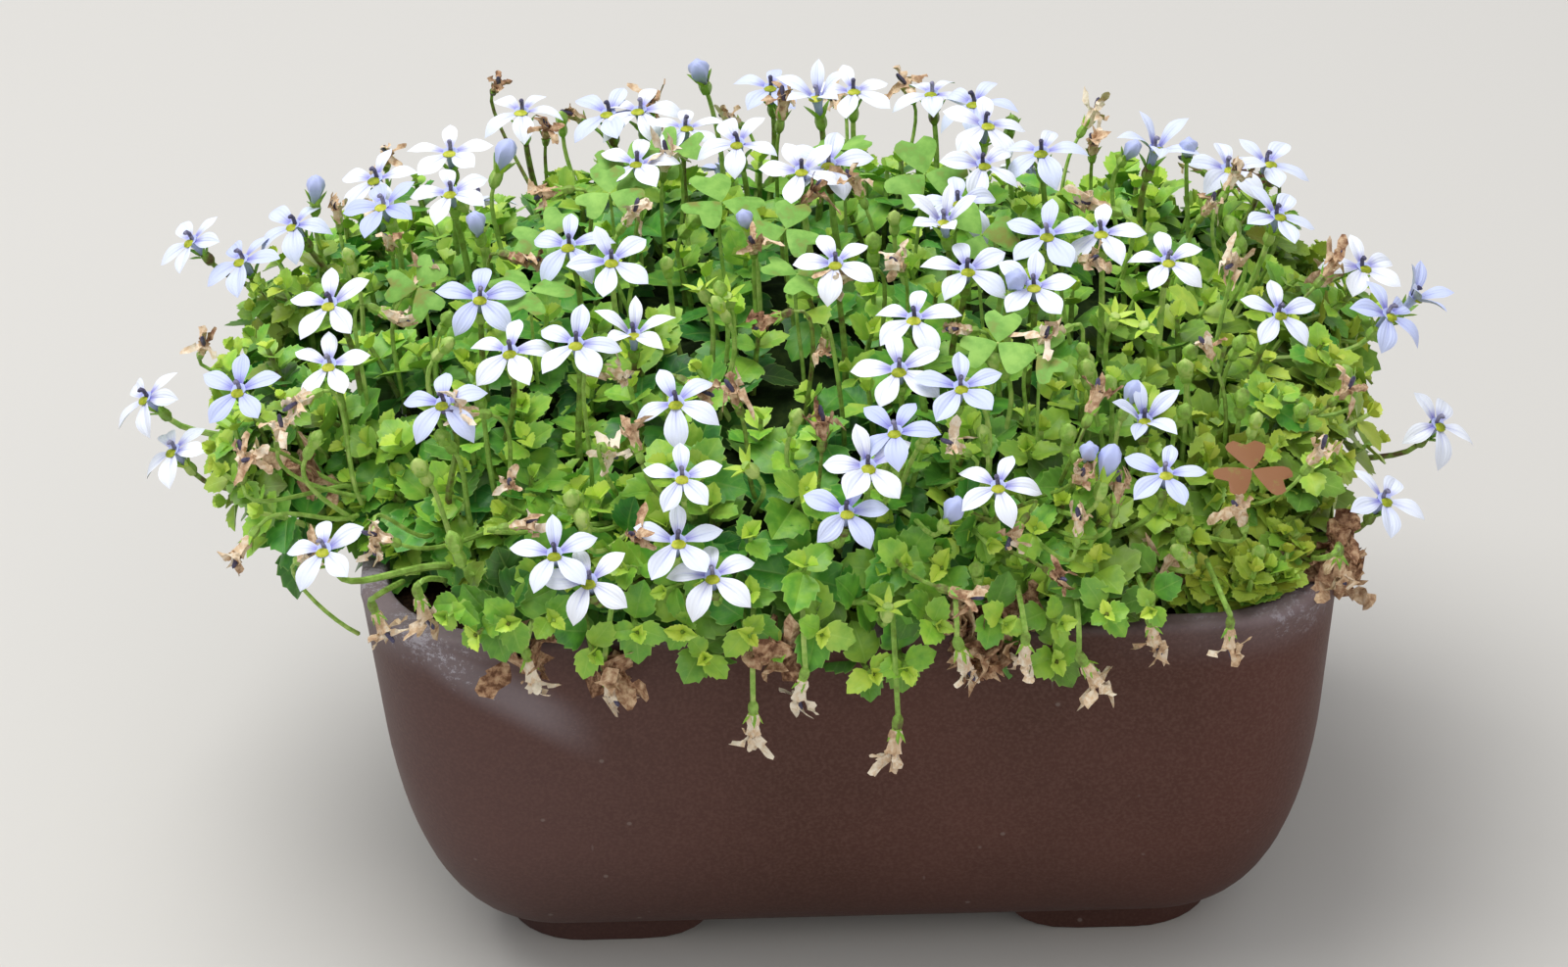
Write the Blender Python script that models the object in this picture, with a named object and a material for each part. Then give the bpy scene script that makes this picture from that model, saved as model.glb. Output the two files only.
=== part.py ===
# A potted blue star creeper: a brown stoneware pot on four feet, its soil, and a low
# creeping mat of toothed leaves that carries pale blue five-petalled blooms on thin stems.
# Lengths are in millimetres and metres() turns them into Blender's units. While it is built,
# the model stands over the middle of the pot's footprint, with the floor at height 0.

import math
import random

import bmesh
import bpy
from mathutils import Matrix, Vector
from mathutils.bvhtree import BVHTree

# Pot
pot_length = 180.0
pot_width = 134.0
body_height = 77.0
foot_height = 7.0
wall = 5.0
floor_thickness = 6.0
wall_taper = math.radians(5.0)
bottom_round = 45.0
base_inset = 20.7
rim_corner = 23.0
rim_edge = 1.5
foot_inset = 1.6
foot_depth = 14.0
foot_gap_front = 28.6
foot_gap_side = 17.0
foot_toe = 12.0
drain_radius = 5.0
drain_spacing = 36.0
corner_steps = 5

# Soil
soil_below_rim = 6.0
soil_crown = 1.5
gap = 0.3

# The mat of leaves is a low dome over the rim, squarish in plan
mat_centre = (-10.0, 2.0)
mat_half_length = 110.0
mat_half_width = 76.0
mat_height = 40.0
mat_squareness = 2.6
core_depth = 8.0
core_lift = 0.8
core_segments = 24
core_rings = 7
column_edges = (-62.0, -10.0, 42.0)
row_edge = -2.0
cell_gap = 0.4
crown_radius = 3.0
crown_depth = 9.0

# Leaves
leaf_count = 138
rim_leaf_count = 36
front_leaf_count = 13
leaf_length = (10.0, 16.5)
leaf_attempts = 8
leaf_keel = 0.08
leaf_fold = 0.28
leaf_sink = 2.6
leaf_lift, leaf_swing = 0.5, 1.6
rim_leaf_lift, rim_leaf_swing = 1.6, 0.4
front_leaf_lift = -0.15
front_leaf_span = (-72.0, 46.0)
front_leaf_rise = 5.5
sorrel_radius = 8.5

# Blooms
petal_length = 8.0
petal_width = 4.1
petal_keel = 0.9
petal_cup = 0.6
petal_shoulder = 0.58
closed_rise = math.radians(75)
throat_radius = 1.7
throat_depth = 1.0
tube_length = 4.0
tube_radius = 0.95
stem_thickness = 1.3
calyx_radius = 1.9
calyx_length = 3.0
stem_sink = 4.0
stem_margin = 2.5
pair_reach = 11.0
chain_reach = 8.0
pair_twist = 0.3
front_lean = -0.30
back_lean = 0.5
back_row = 60.0

# Where the blooms stand: x, y and the height over the rim, with a fourth number for how far a
# closing one is open. Blooms whose petals cross are one group, from the left to the right.
bloom_groups = (
    ((-124, 26, 32), (-114, 20, 31), (-104, 24, 36)),
    ((-131, -8, 18), (-126, -14, 10)),
    ((-111, -29, 32),),
    ((-88, 27, 44), (-86, 15, 45), (-73, 14, 48)),
    ((-74, 33, 46),),
    ((-61, 50, 45),),
    ((-94, -19, 44), (-94, -29, 37)),
    ((-94, -65, 20),),
    ((-72, -50, 41),),
    ((-66, -25, 48),),
    ((-60, -41, 46), (-48, -42, 48)),
    ((-38, -31, 43, 0.4),),
    ((-52, -76, 25), (-46, -79, 21)),
    ((-44, 43, 48), (-38, 42, 49), (-29, 33, 50)),
    ((-38, 18, 51),),
    ((-50, -12, 51), (-42, -18, 51)),
    ((-30, -55, 43),),
    ((-29, -69, 36),),
    ((-30, -76, 27), (-24, -80, 22)),
    ((-19, 21, 53),),
    ((-13, 57, 45),),
    ((-4, 38, 53, 0.4),),
    ((3, 53, 46),),
    ((-2, 14, 52), (-7, 10, 53)),
    ((-1, -21, 51),),
    ((9, -62, 40), (4, -67, 36), (0, -74, 31)),
    ((13, -38, 49), (10, -49, 45), (21, -54, 44)),
    ((18, 51, 46), (26, 43, 48), (28, 31, 50)),
    ((27, 14, 51), (38, 20, 50)),
    ((22, 0, 51),),
    ((19, -12, 54, 0.4),),
    ((23, -23, 50), (35, -26, 48)),
    ((27, -70, 33),),
    ((38, -11, 50), (48, -9, 49), (60, -15, 46)),
    ((60, 27, 46, 0.4),),
    ((57, -64, 31),),
    ((54, -49, 33, 0.4),),
    ((74, 31, 39), (82, 38, 36)),
    ((82, 11, 40),),
    ((80, -23, 39),),
    ((98, 8, 30), (102, -3, 26)),
    ((109, 20, 16, 0.4),),
    ((111, -10, 6),),
    ((98, -45, 12),),
    ((-72, 72, 13),),
    ((-24, 82, 13),),
    ((38, 80, 12),),
    ((84, 60, 8),),
)
# Green buds and seed heads: x, y and the height over the rim
bud_places = (
    (-25, 50, 50), (-66, 28, 49), (62, 22, 44), (50, -36, 46), (44, -62, 34),
    (18, -76, 20), (44, -72, 21), (-12, -28, 47), (78, -52, 24), (-108, 6, 34),
)
# Withered flowers, and those that hang over the front of the rim: x, y and the height over it
withered_places = (
    (-64, 40, 47), (68, 44, 40), (-85, -4, 45), (-12, 2, 49), (2, -34, 48),
    (-28, -36, 48), (-66, -60, 34), (-10, -66, 33), (32, -50, 42), (88, -30, 33),
    (-116, -12, 26), (60, -66, 26),
)
hanging_places = (
    (-83, -62, 1), (-44, -74, -9), (-18, -76, -17), (8, -76, -19),
    (22, -76, -9), (60, -71, -7), (71, -72, -6),
)
# Three-lobed wood sorrel leaves: x, y and the height over the rim
sorrel_places = (
    (-50, 24, 46), (-22, 36, 45), (10, 28, 46), (-10, -12, 47), (28, -40, 44), (-80, -8, 43),
)
# Radius and place along its stalk, in steps down from the tip, of a bud and a withered flower
bud_radii = (0.6, 1.9, 2.1, 0.8)
bud_step = 2.0
withered_radii = (0.7, 1.7, 2.8, 0.9)
withered_step = 2.6
head_stalk_radius = 0.6
hanging_radii = (0.7, 0.7, 0.8, 2.2, 1.0)
hanging_step = 3.5
hanging_root_y = -50.0

rim_height = foot_height + body_height
scrap_faces = 40
chance = random.Random(41)
golden_angle = math.pi * (3 - math.sqrt(5))


def metres(*sizes):
    return Vector([size / 1000 for size in sizes])


def clear_scene():
    for old in list(bpy.data.objects):
        bpy.data.objects.remove(old, do_unlink=True)


def new_collection(name):
    made = bpy.data.collections.new(name)
    bpy.context.scene.collection.children.link(made)
    return made


def material(name, colour, roughness):
    made = bpy.data.materials.new(name)
    made.use_nodes = True
    shader = made.node_tree.nodes["Principled BSDF"]
    shader.inputs["Base Color"].default_value = (*colour, 1.0)
    shader.inputs["Roughness"].default_value = roughness
    shader.inputs["Metallic"].default_value = 0.0
    return made


def mesh_from(bm, name):
    """A mesh whose faces all point out of it."""
    bmesh.ops.recalc_face_normals(bm, faces=bm.faces)
    if bm.calc_volume(signed=True) < 0:
        bmesh.ops.reverse_faces(bm, faces=bm.faces)
    mesh = bpy.data.meshes.new(name)
    bm.to_mesh(mesh)
    bm.free()
    return mesh


def object_from(bm, name, collection, finish=None):
    mesh = mesh_from(bm, name)
    made = bpy.data.objects.new(name, mesh)
    collection.objects.link(made)
    if finish:
        mesh.materials.append(finish)
    return made


def remove(objects):
    for old in list(objects):
        bpy.data.objects.remove(old, do_unlink=True)


def as_mesh(source):
    """The mesh that an object's modifiers or bevel make."""
    graph = bpy.context.evaluated_depsgraph_get()
    return bpy.data.meshes.new_from_object(source.evaluated_get(graph))


def apply_boolean(target, operation, cutters, solver="EXACT"):
    """Joins or cuts a whole collection with one Boolean, then drops the cutters."""
    boolean = target.modifiers.new(operation.lower(), "BOOLEAN")
    boolean.operation = operation
    boolean.operand_type = "COLLECTION"
    boolean.collection = cutters
    boolean.solver = solver
    mesh = as_mesh(target)
    target.modifiers.remove(boolean)
    target.data = mesh
    remove(cutters.objects)


def drop_scraps(target):
    """Drops loose scraps and the walls of sealed hollows, which all have few faces."""
    bm = bmesh.new()
    bm.from_mesh(target.data)
    left = set(bm.faces)
    bodies = []
    while left:
        body = {left.pop()}
        edge = set(body)
        while edge:
            edge = {near for face in edge for side in face.edges for near in side.link_faces} - body
            body |= edge
        left -= body
        bodies.append(body)
    for body in bodies:
        if len(body) <= scrap_faces:
            bmesh.ops.delete(bm, geom=list(body), context="FACES")
    bm.to_mesh(target.data)
    bm.free()


def surface_tree(mesh, place, swell=1.0):
    """A search tree of a placed mesh, swollen a little about its middle to keep a gap round it."""
    points = [place @ vertex.co for vertex in mesh.vertices]
    middle = sum(points, Vector()) / len(points)
    points = [middle + (point - middle) * swell for point in points]
    return BVHTree.FromPolygons(points, [tuple(face.vertices) for face in mesh.polygons])


def rounded_outline(half_length, half_width, radius, height):
    """A rectangle with round corners, anticlockwise from the right-hand side."""
    points = []
    for quarter, (side, front) in enumerate(((1, 1), (-1, 1), (-1, -1), (1, -1))):
        for step in range(corner_steps + 1):
            turn = (quarter + step / corner_steps) * math.pi / 2
            x = side * (half_length - radius) + radius * math.cos(turn)
            y = front * (half_width - radius) + radius * math.sin(turn)
            points.append(metres(x, y, height))
    return points


def loft(name, sections, collection, finish=None):
    """A closed solid through outlines of equal point counts, capped at both ends."""
    bm = bmesh.new()
    rings = [[bm.verts.new(point) for point in section] for section in sections]
    for below, above in zip(rings, rings[1:]):
        for i in range(len(below)):
            j = (i + 1) % len(below)
            bm.faces.new((below[i], below[j], above[j], above[i]))
    bm.faces.new(reversed(rings[0]))
    bm.faces.new(rings[-1])
    return object_from(bm, name, collection, finish)


def wall_inset(depth):
    """How far the outer wall stands in from the rim's edge at a depth below the rim."""
    slope = math.tan(wall_taper)
    turn = max(0.0, (depth - (body_height - bottom_round)) / bottom_round)
    rounding = 1 - math.sqrt(max(0.0, 1 - turn ** 2))
    return slope * depth + (base_inset - slope * body_height) * rounding


def pot_section(inset, depth):
    radius = rim_corner - inset * 0.35
    return rounded_outline(pot_length / 2 - inset, pot_width / 2 - inset, radius, rim_height - depth)


def inner_inset(depth):
    return wall_inset(depth) + wall


def pot_cutters(cutters):
    """The arches between the feet, the hollow behind them and the drain holes."""
    for along, half_gap, reach in ((0, foot_gap_front, pot_width), (1, foot_gap_side, pot_length)):
        arch = bmesh.new()
        steps = [math.radians(angle) for angle in (0, 30, 60, 90)]
        side = [
            (half_gap + foot_toe * (1 - math.cos(turn)), foot_height * (1 - math.sin(turn)))
            for turn in steps
        ]
        side.append((half_gap + foot_toe, -1.0))
        profile = side + [(-x, z) for x, z in reversed(side)]
        ring = []
        for x, z in profile:
            place = metres(x, -reach / 2, z) if along == 0 else metres(-reach / 2, x, z)
            ring.append(arch.verts.new(place))
        face = arch.faces.new(ring)
        grown = bmesh.ops.extrude_face_region(arch, geom=[face])
        step = metres(0, reach, 0) if along == 0 else metres(reach, 0, 0)
        moved = [item for item in grown["geom"] if isinstance(item, bmesh.types.BMVert)]
        bmesh.ops.translate(arch, verts=moved, vec=step)
        object_from(arch, "foot_arch", cutters)
    inset = base_inset + foot_inset + foot_depth
    hollow = bmesh.new()
    size = metres(pot_length - 2 * inset, pot_width - 2 * inset, 2 * foot_height)
    bmesh.ops.create_cube(hollow, size=1.0, matrix=Matrix.Diagonal((*size, 1.0)))
    object_from(hollow, "foot_hollow", cutters)


def make_feet(joined):
    inset = base_inset + foot_inset
    sections = [
        pot_section(inset + 1.4, rim_height),
        pot_section(inset + 0.3, rim_height - 1.0),
        pot_section(inset, body_height - 2.0),
    ]
    feet = loft("feet", sections, joined)
    cutters = new_collection("foot_cutters")
    pot_cutters(cutters)
    apply_boolean(feet, "DIFFERENCE", cutters)
    return feet


def make_pot(collection, finish):
    turns = [math.radians(angle) for angle in (76, 55, 34, 14, 0)]
    fillet_steps = [body_height - bottom_round * (1 - math.sin(turn)) for turn in turns]
    sections = [pot_section(base_inset, body_height)]
    sections += [pot_section(wall_inset(depth), depth) for depth in fillet_steps]
    sections += [
        pot_section(0.0, rim_edge),
        pot_section(rim_edge * 0.3, rim_edge * 0.3),
        pot_section(rim_edge, 0.0),
        pot_section(wall - rim_edge, 0.0),
        pot_section(wall - rim_edge * 0.3, rim_edge * 0.3),
        pot_section(wall, rim_edge),
    ]
    floor_depth = body_height - floor_thickness
    sections += [pot_section(inner_inset(depth), depth) for depth in (36.0, 52.0, 64.0, floor_depth)]
    pot = loft("pot", sections, collection, finish)
    joined = new_collection("pot_feet")
    make_feet(joined)
    apply_boolean(pot, "UNION", joined)
    drains = new_collection("drain_cutters")
    for side in (-1, 1):
        hole = bmesh.new()
        place = Matrix.Translation(metres(side * drain_spacing / 2, 0, foot_height + floor_thickness / 2))
        bmesh.ops.create_cone(
            hole, cap_ends=True, segments=12, depth=3 * floor_thickness / 1000,
            radius1=drain_radius / 1000, radius2=drain_radius / 1000, matrix=place,
        )
        object_from(hole, "drain", drains)
    apply_boolean(pot, "DIFFERENCE", drains)
    pot.data.shade_smooth()
    pot.data.set_sharp_from_angle(angle=math.radians(40))
    return pot


def make_soil(collection, finish, crowns):
    """The soil fills the pot and has a plain hole for the crown of each leafy clump."""
    floor_depth = body_height - floor_thickness - gap
    depths = (floor_depth, 64.0, 52.0, 36.0, soil_below_rim)
    sections = [pot_section(inner_inset(depth) + gap, depth) for depth in depths]
    sections.append(pot_section(inner_inset(soil_below_rim) + 16.0, soil_below_rim - soil_crown))
    soil = loft("soil", sections, collection, finish)
    holes = new_collection("soil_holes")
    for x, y in crowns:
        hole = bmesh.new()
        top = rim_height + core_lift
        place = Matrix.Translation(metres(x, y, top - crown_depth / 2))
        bmesh.ops.create_cone(
            hole, cap_ends=True, segments=6, depth=(crown_depth + 2 * gap) / 1000,
            radius1=(crown_radius + gap) / 1000, radius2=(crown_radius + gap) / 1000, matrix=place,
        )
        object_from(hole, "crown_hole", holes)
    apply_boolean(soil, "DIFFERENCE", holes)
    return soil


def dome_point(u, v, inward):
    """A point on the mat's dome and the way out of it there. u runs round the dome and v from its
    edge, 0, to its top, 1. inward is how far inside the leaf tips the surface lies."""
    turn = 2 * math.pi * u
    rise = v * math.pi / 2
    power = 2 / mat_squareness
    flat = math.cos(rise) ** power
    cos_turn = math.copysign(abs(math.cos(turn)) ** power, math.cos(turn))
    sin_turn = math.copysign(abs(math.sin(turn)) ** power, math.sin(turn))
    half = (mat_half_length - inward, mat_half_width - inward, mat_height - inward)
    x = half[0] * flat * cos_turn
    y = half[1] * flat * sin_turn
    z = half[2] * math.sin(rise) ** power
    grow = mat_squareness - 1
    out = Vector((
        math.copysign((abs(x) / half[0]) ** grow / half[0], x),
        math.copysign((abs(y) / half[1]) ** grow / half[1], y),
        (z / half[2]) ** grow / half[2],
    ))
    return Vector((mat_centre[0] + x, mat_centre[1] + y, rim_height + core_lift + z)), out.normalized()


def dome_height(x, y, inward):
    """How high the dome stands over the floor above a point of the plan."""
    across = abs(x - mat_centre[0]) / (mat_half_length - inward)
    along = abs(y - mat_centre[1]) / (mat_half_width - inward)
    left = 1 - across ** mat_squareness - along ** mat_squareness
    return rim_height + core_lift + (mat_height - inward) * max(0.0, left) ** (1 / mat_squareness)


def cell_of(x, y):
    """Which of the eight leafy clumps a point of the plan belongs to."""
    column = sum(x > edge for edge in column_edges)
    return column, int(y > row_edge)


def cell_limits(cell):
    """The plan limits of a clump, far out on the mat's own edges."""
    far = 400.0
    xs = (-far, *column_edges, far)
    ys = (-far, row_edge, far)
    return (
        xs[cell[0]] + cell_gap, xs[cell[0] + 1] - cell_gap,
        ys[cell[1]] + cell_gap, ys[cell[1] + 1] - cell_gap,
    )


def shift_into(cell, points):
    """The sideways step that brings a set of points inside a clump's limits."""
    low_x, high_x, low_y, high_y = [limit / 1000 for limit in cell_limits(cell)]
    xs = [point.x for point in points]
    ys = [point.y for point in points]
    step_x = max(0.0, low_x - min(xs)) - max(0.0, max(xs) - high_x)
    step_y = max(0.0, low_y - min(ys)) - max(0.0, max(ys) - high_y)
    return Vector((step_x, step_y, 0.0))


def make_core(cell, collection, finish):
    """A clump's hidden woody middle: its share of a dome that the leaves stand out of, and a crown
    that goes down into the soil."""
    bm = bmesh.new()
    rings = []
    for ring in range(core_rings):
        v = ring / core_rings
        row = []
        for i in range(core_segments):
            point, _ = dome_point(i / core_segments, v, core_depth)
            row.append(bm.verts.new(metres(*point)))
        rings.append(row)
    for below, above in zip(rings, rings[1:]):
        for i in range(core_segments):
            j = (i + 1) % core_segments
            bm.faces.new((below[i], below[j], above[j], above[i]))
    bm.faces.new(reversed(rings[0]))
    bm.faces.new(rings[-1])
    name = f"leafy_stems_{cell[0] + 1 + 4 * (1 - cell[1])}"
    core = object_from(bm, name, collection, finish)
    low_x, high_x, low_y, high_y = cell_limits(cell)
    share = bmesh.new()
    size = metres(high_x - low_x, high_y - low_y, 200.0)
    middle = metres((low_x + high_x) / 2, (low_y + high_y) / 2, rim_height + core_lift + 99.0)
    bmesh.ops.create_cube(share, size=1.0, matrix=Matrix.LocRotScale(middle, None, size))
    cutters = new_collection("cell_cutters")
    object_from(share, "cell", cutters)
    apply_boolean(core, "INTERSECT", cutters)
    return core


def crown_places():
    """One crown for each clump, well inside the pot's rim."""
    places = {}
    for column, x in enumerate((-72.0, -36.0, 16.0, 62.0)):
        places[column, 0] = (x, -30.0)
        places[column, 1] = (x, 28.0)
    return places


def add_crown(place, joined):
    crown = bmesh.new()
    top = rim_height + core_lift
    middle = Matrix.Translation(metres(*place, top - (crown_depth - 6.0) / 2))
    bmesh.ops.create_cone(
        crown, cap_ends=True, segments=6, depth=(crown_depth + 6.0) / 1000,
        radius1=crown_radius / 1000, radius2=crown_radius / 1000, matrix=middle,
    )
    object_from(crown, "crown", joined)


def keeled_blade(name, ring, centre, keel):
    """A closed thin blade: its upper face fans out from one point and its lower face from a keel."""
    bm = bmesh.new()
    edge = [bm.verts.new(point) for point in ring]
    top = bm.verts.new(centre)
    under = bm.verts.new(keel)
    for near, far in zip(edge, edge[1:] + edge[:1]):
        bm.faces.new((top, near, far))
        bm.faces.new((under, far, near))
    return mesh_from(bm, name)


def leaf_mesh():
    """A leaf of unit length, toothed along its edge and cupped towards its midrib."""
    half = [(0.34, 0.26), (0.46, 0.55), (0.33, 0.62)]
    ring = [(0, 0, 0)]
    ring += [(x, y, leaf_fold * x) for x, y in half]
    ring.append((0, 1, 0.02))
    ring += [(-x, y, leaf_fold * x) for x, y in reversed(half)]
    return keeled_blade("leaf_blade", ring, (0, 0.5, 0), (0, 0.45, -leaf_keel))


def sorrel_mesh():
    """Three heart-shaped leaflets in one blade of unit radius."""
    ring = []
    for leaflet in range(3):
        middle = 2 * math.pi * leaflet / 3
        for turn, reach in ((-60, 0.22), (-34, 0.86), (-14, 1.0), (0, 0.74), (14, 1.0), (34, 0.86)):
            angle = middle + math.radians(turn)
            ring.append((reach * math.cos(angle), reach * math.sin(angle), 0.1 * reach))
    return keeled_blade("sorrel_blade", ring, (0, 0, 0), (0, 0, -2 * leaf_keel))


def placed_copy(blade, place, joined, name):
    mesh = blade.copy()
    mesh.transform(place)
    joined.objects.link(bpy.data.objects.new(name, mesh))


def facing(forward, up):
    """A turn that takes +Y to forward and +Z as near to up as it can."""
    y = forward.normalized()
    x = y.cross(up).normalized()
    z = x.cross(y)
    return Matrix((x, y, z)).transposed().to_4x4()


def front_edge(x, rise):
    """How far forward the dome's inside reaches at a place along it and a height over the rim."""
    inward = core_depth + leaf_sink
    along = abs(x - mat_centre[0]) / (mat_half_length - inward)
    above = rise / (mat_height - inward)
    left = 1 - along ** mat_squareness - above ** mat_squareness
    return mat_centre[1] - (mat_half_width - inward) * left ** (1 / mat_squareness)


def leaf_spots():
    """Where the leaves grow on the dome: the base, the way out of the dome there, the way the leaf
    points, how steeply it lifts and how far it may swing round."""
    spots = []
    for i in range(leaf_count):
        v = 1 - ((i + 0.5) / leaf_count) ** 0.62
        u = (i * golden_angle / (2 * math.pi)) % 1
        base, out = dome_point(u, v, core_depth + leaf_sink)
        heading = Vector((base.x - mat_centre[0], base.y - mat_centre[1], 0)).normalized()
        spots.append((base, out, heading, leaf_lift, leaf_swing))
    for i in range(rim_leaf_count):
        u = (i + chance.uniform(0, 0.5)) / rim_leaf_count
        base, out = dome_point(u, 0.06 + 0.06 * (i % 2), core_depth + leaf_sink)
        heading = Vector((out.x, out.y, 0)).normalized()
        spots.append((base, out, heading, rim_leaf_lift, rim_leaf_swing))
    for i in range(front_leaf_count):
        left, right = front_leaf_span
        x = left + (right - left) * i / (front_leaf_count - 1)
        base = Vector((x, front_edge(x, front_leaf_rise), rim_height + core_lift + front_leaf_rise))
        out = Vector((0, -0.6, 0.8))
        spots.append((base, out, Vector((0, -1, 0)), front_leaf_lift, rim_leaf_swing))
    return spots


def add_leaves(cells, crossed, keep_clear):
    """Leaves that stand out of the dome. Each is tried at a few turns and sizes until it crosses
    nothing, and left out if it never comes clear."""
    flat = leaf_mesh()
    longest, shortest = max(leaf_length), min(leaf_length)
    for base, out, heading, lift, swing in leaf_spots():
        cell = cell_of(base.x, base.y)
        for attempt in range(leaf_attempts):
            way = heading.copy()
            way.rotate(Matrix.Rotation(chance.uniform(-swing, swing), 3, "Z"))
            slope = (way - out * way.dot(out)).normalized()
            turn = facing(slope + out * (lift + chance.uniform(-0.25, 0.45)), out)
            size = (longest - (longest - shortest) * attempt / leaf_attempts) / 1000
            place = Matrix.Translation(metres(*base)) @ turn @ Matrix.Scale(size, 4)
            points = [place @ vertex.co for vertex in flat.vertices]
            place = Matrix.Translation(shift_into(cell, points)) @ place
            tree = surface_tree(flat, place, 1.1)
            if any(tree.overlap(other) for other in (*keep_clear, *crossed[cell])):
                continue
            placed_copy(flat, place, cells[cell], "leaf")
            crossed[cell].append(surface_tree(flat, place))
            break
    bpy.data.meshes.remove(flat)


def stalk(points, radii, joined, name="stalk"):
    """A thin four-sided stalk through points in millimetres, thicker where its radius says so."""
    curve = bpy.data.curves.new(name, "CURVE")
    curve.dimensions = "3D"
    curve.bevel_depth = 0.001
    curve.bevel_resolution = 0
    curve.use_fill_caps = True
    line = curve.splines.new("POLY")
    line.points.add(len(points) - 1)
    for knot, point, radius in zip(line.points, points, radii):
        knot.co = (*metres(*point), 1.0)
        knot.radius = radius
    guide = bpy.data.objects.new(name, curve)
    bpy.context.scene.collection.objects.link(guide)
    mesh = as_mesh(guide)
    bpy.data.objects.remove(guide)
    bm = bmesh.new()
    bm.from_mesh(mesh)
    bmesh.ops.remove_doubles(bm, verts=bm.verts, dist=0.00001)
    return object_from(bm, name, joined)


def step_into_clump(calyx):
    """The sideways step that keeps a calyx clear of the borders between clumps."""
    low_x, high_x, low_y, high_y = cell_limits(cell_of(calyx.x, calyx.y))
    margin = calyx_radius + 0.6
    step_x = max(0.0, low_x + margin - calyx.x) - max(0.0, calyx.x - high_x + margin)
    step_y = max(0.0, low_y + margin - calyx.y) - max(0.0, calyx.y - high_y + margin)
    return Vector((step_x, step_y, 0.0))


def bloom_axis(x, y, draw):
    """Blooms face up, a little outwards and a little to the front."""
    across = (x - mat_centre[0]) / mat_half_length
    along = (y - mat_centre[1]) / mat_half_width
    front = front_lean if y < back_row else back_lean
    lean_x = 0.5 * across ** 3 + draw.uniform(-0.14, 0.14)
    lean_y = front + 0.12 * along + draw.uniform(-0.1, 0.1)
    return Vector((lean_x, lean_y, 1.0)).normalized()


def bloom_mesh(opening, spin, size):
    """Five pointed petals, each with a keel, round a throat over a short tube. opening is 1 for a
    flat star."""
    rise = (1 - opening) * closed_rise
    flat, high = math.cos(rise), math.sin(rise)
    shoulder = petal_shoulder * petal_length
    half = petal_width / 2 * (0.75 if opening < 1 else 1.0)
    keel = petal_keel * (1 + high)
    bm = bmesh.new()
    notches, necks, sides, tips, keels, foot = [], [], [], [], [], []
    for petal in range(5):
        angle = spin + petal * 2 * math.pi / 5
        ahead = Vector((math.cos(angle), math.sin(angle), 0))
        aside = Vector((-math.sin(angle), math.cos(angle), 0))
        between = Vector((math.cos(angle - math.pi / 5), math.sin(angle - math.pi / 5), 0))
        midrib = ahead * shoulder * flat + Vector((0, 0, shoulder * high))
        face = Vector((-ahead.x * high, -ahead.y * high, flat))
        middle = midrib + face * petal_cup
        places = (
            (notches, between * throat_radius),
            (necks, between * 0.8 * throat_radius - Vector((0, 0, petal_keel))),
            (sides, middle - aside * half),
            (sides, middle + aside * half),
            (tips, ahead * petal_length * flat + Vector((0, 0, petal_length * high - 0.3))),
            (keels, midrib * 0.9 - face * keel),
            (foot, between * tube_radius - Vector((0, 0, tube_length))),
        )
        for row, place in places:
            row.append(bm.verts.new(place * size / 1000))
    throat = bm.verts.new(metres(0, 0, -throat_depth))
    for petal in range(5):
        after = (petal + 1) % 5
        root, end = notches[petal], notches[after]
        edge = (root, sides[2 * petal], tips[petal], sides[2 * petal + 1], end)
        bm.faces.new((root, edge[1], edge[2]))
        bm.faces.new((root, edge[2], end))
        bm.faces.new((end, edge[2], edge[3]))
        bm.faces.new((throat, root, end))
        for near, far in zip(edge, edge[1:]):
            bm.faces.new((near, keels[petal], far))
        bm.faces.new((root, necks[petal], keels[petal]))
        bm.faces.new((necks[petal], necks[after], keels[petal]))
        bm.faces.new((necks[after], end, keels[petal]))
        bm.faces.new((necks[petal], foot[petal], foot[after], necks[after]))
    bm.faces.new(foot)
    return mesh_from(bm, "bloom")


def stem_foot(calyx, cell):
    """Where a stem starts: inside the dome, under its bloom or at the nearest part of its clump."""
    low_x, high_x, low_y, high_y = cell_limits(cell)
    inward = core_depth + 6.0
    reach = max(
        abs(calyx.x - mat_centre[0]) / (mat_half_length - inward),
        abs(calyx.y - mat_centre[1]) / (mat_half_width - inward),
    )
    shrink = min(1.0, 0.80 / reach) if reach > 0 else 1.0
    x = mat_centre[0] + (calyx.x - mat_centre[0]) * shrink
    y = mat_centre[1] + (calyx.y - mat_centre[1]) * shrink
    x = min(max(x, low_x + stem_margin), high_x - stem_margin)
    y = min(max(y, low_y + stem_margin), high_y - stem_margin)
    return Vector((x, y, dome_height(x, y, core_depth) - stem_sink))


def square_to(axis, along):
    """The part of an axis that is square to another direction, of unit length."""
    return (axis - along * axis.dot(along)).normalized()


def petal_towards(head, axis, other):
    """The spin that points one petal at another bloom."""
    turn = axis.to_track_quat("Z", "Y").to_matrix().to_4x4()
    aim = (Matrix.Translation(head) @ turn).inverted() @ other
    return math.atan2(aim.y, aim.x)


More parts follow.
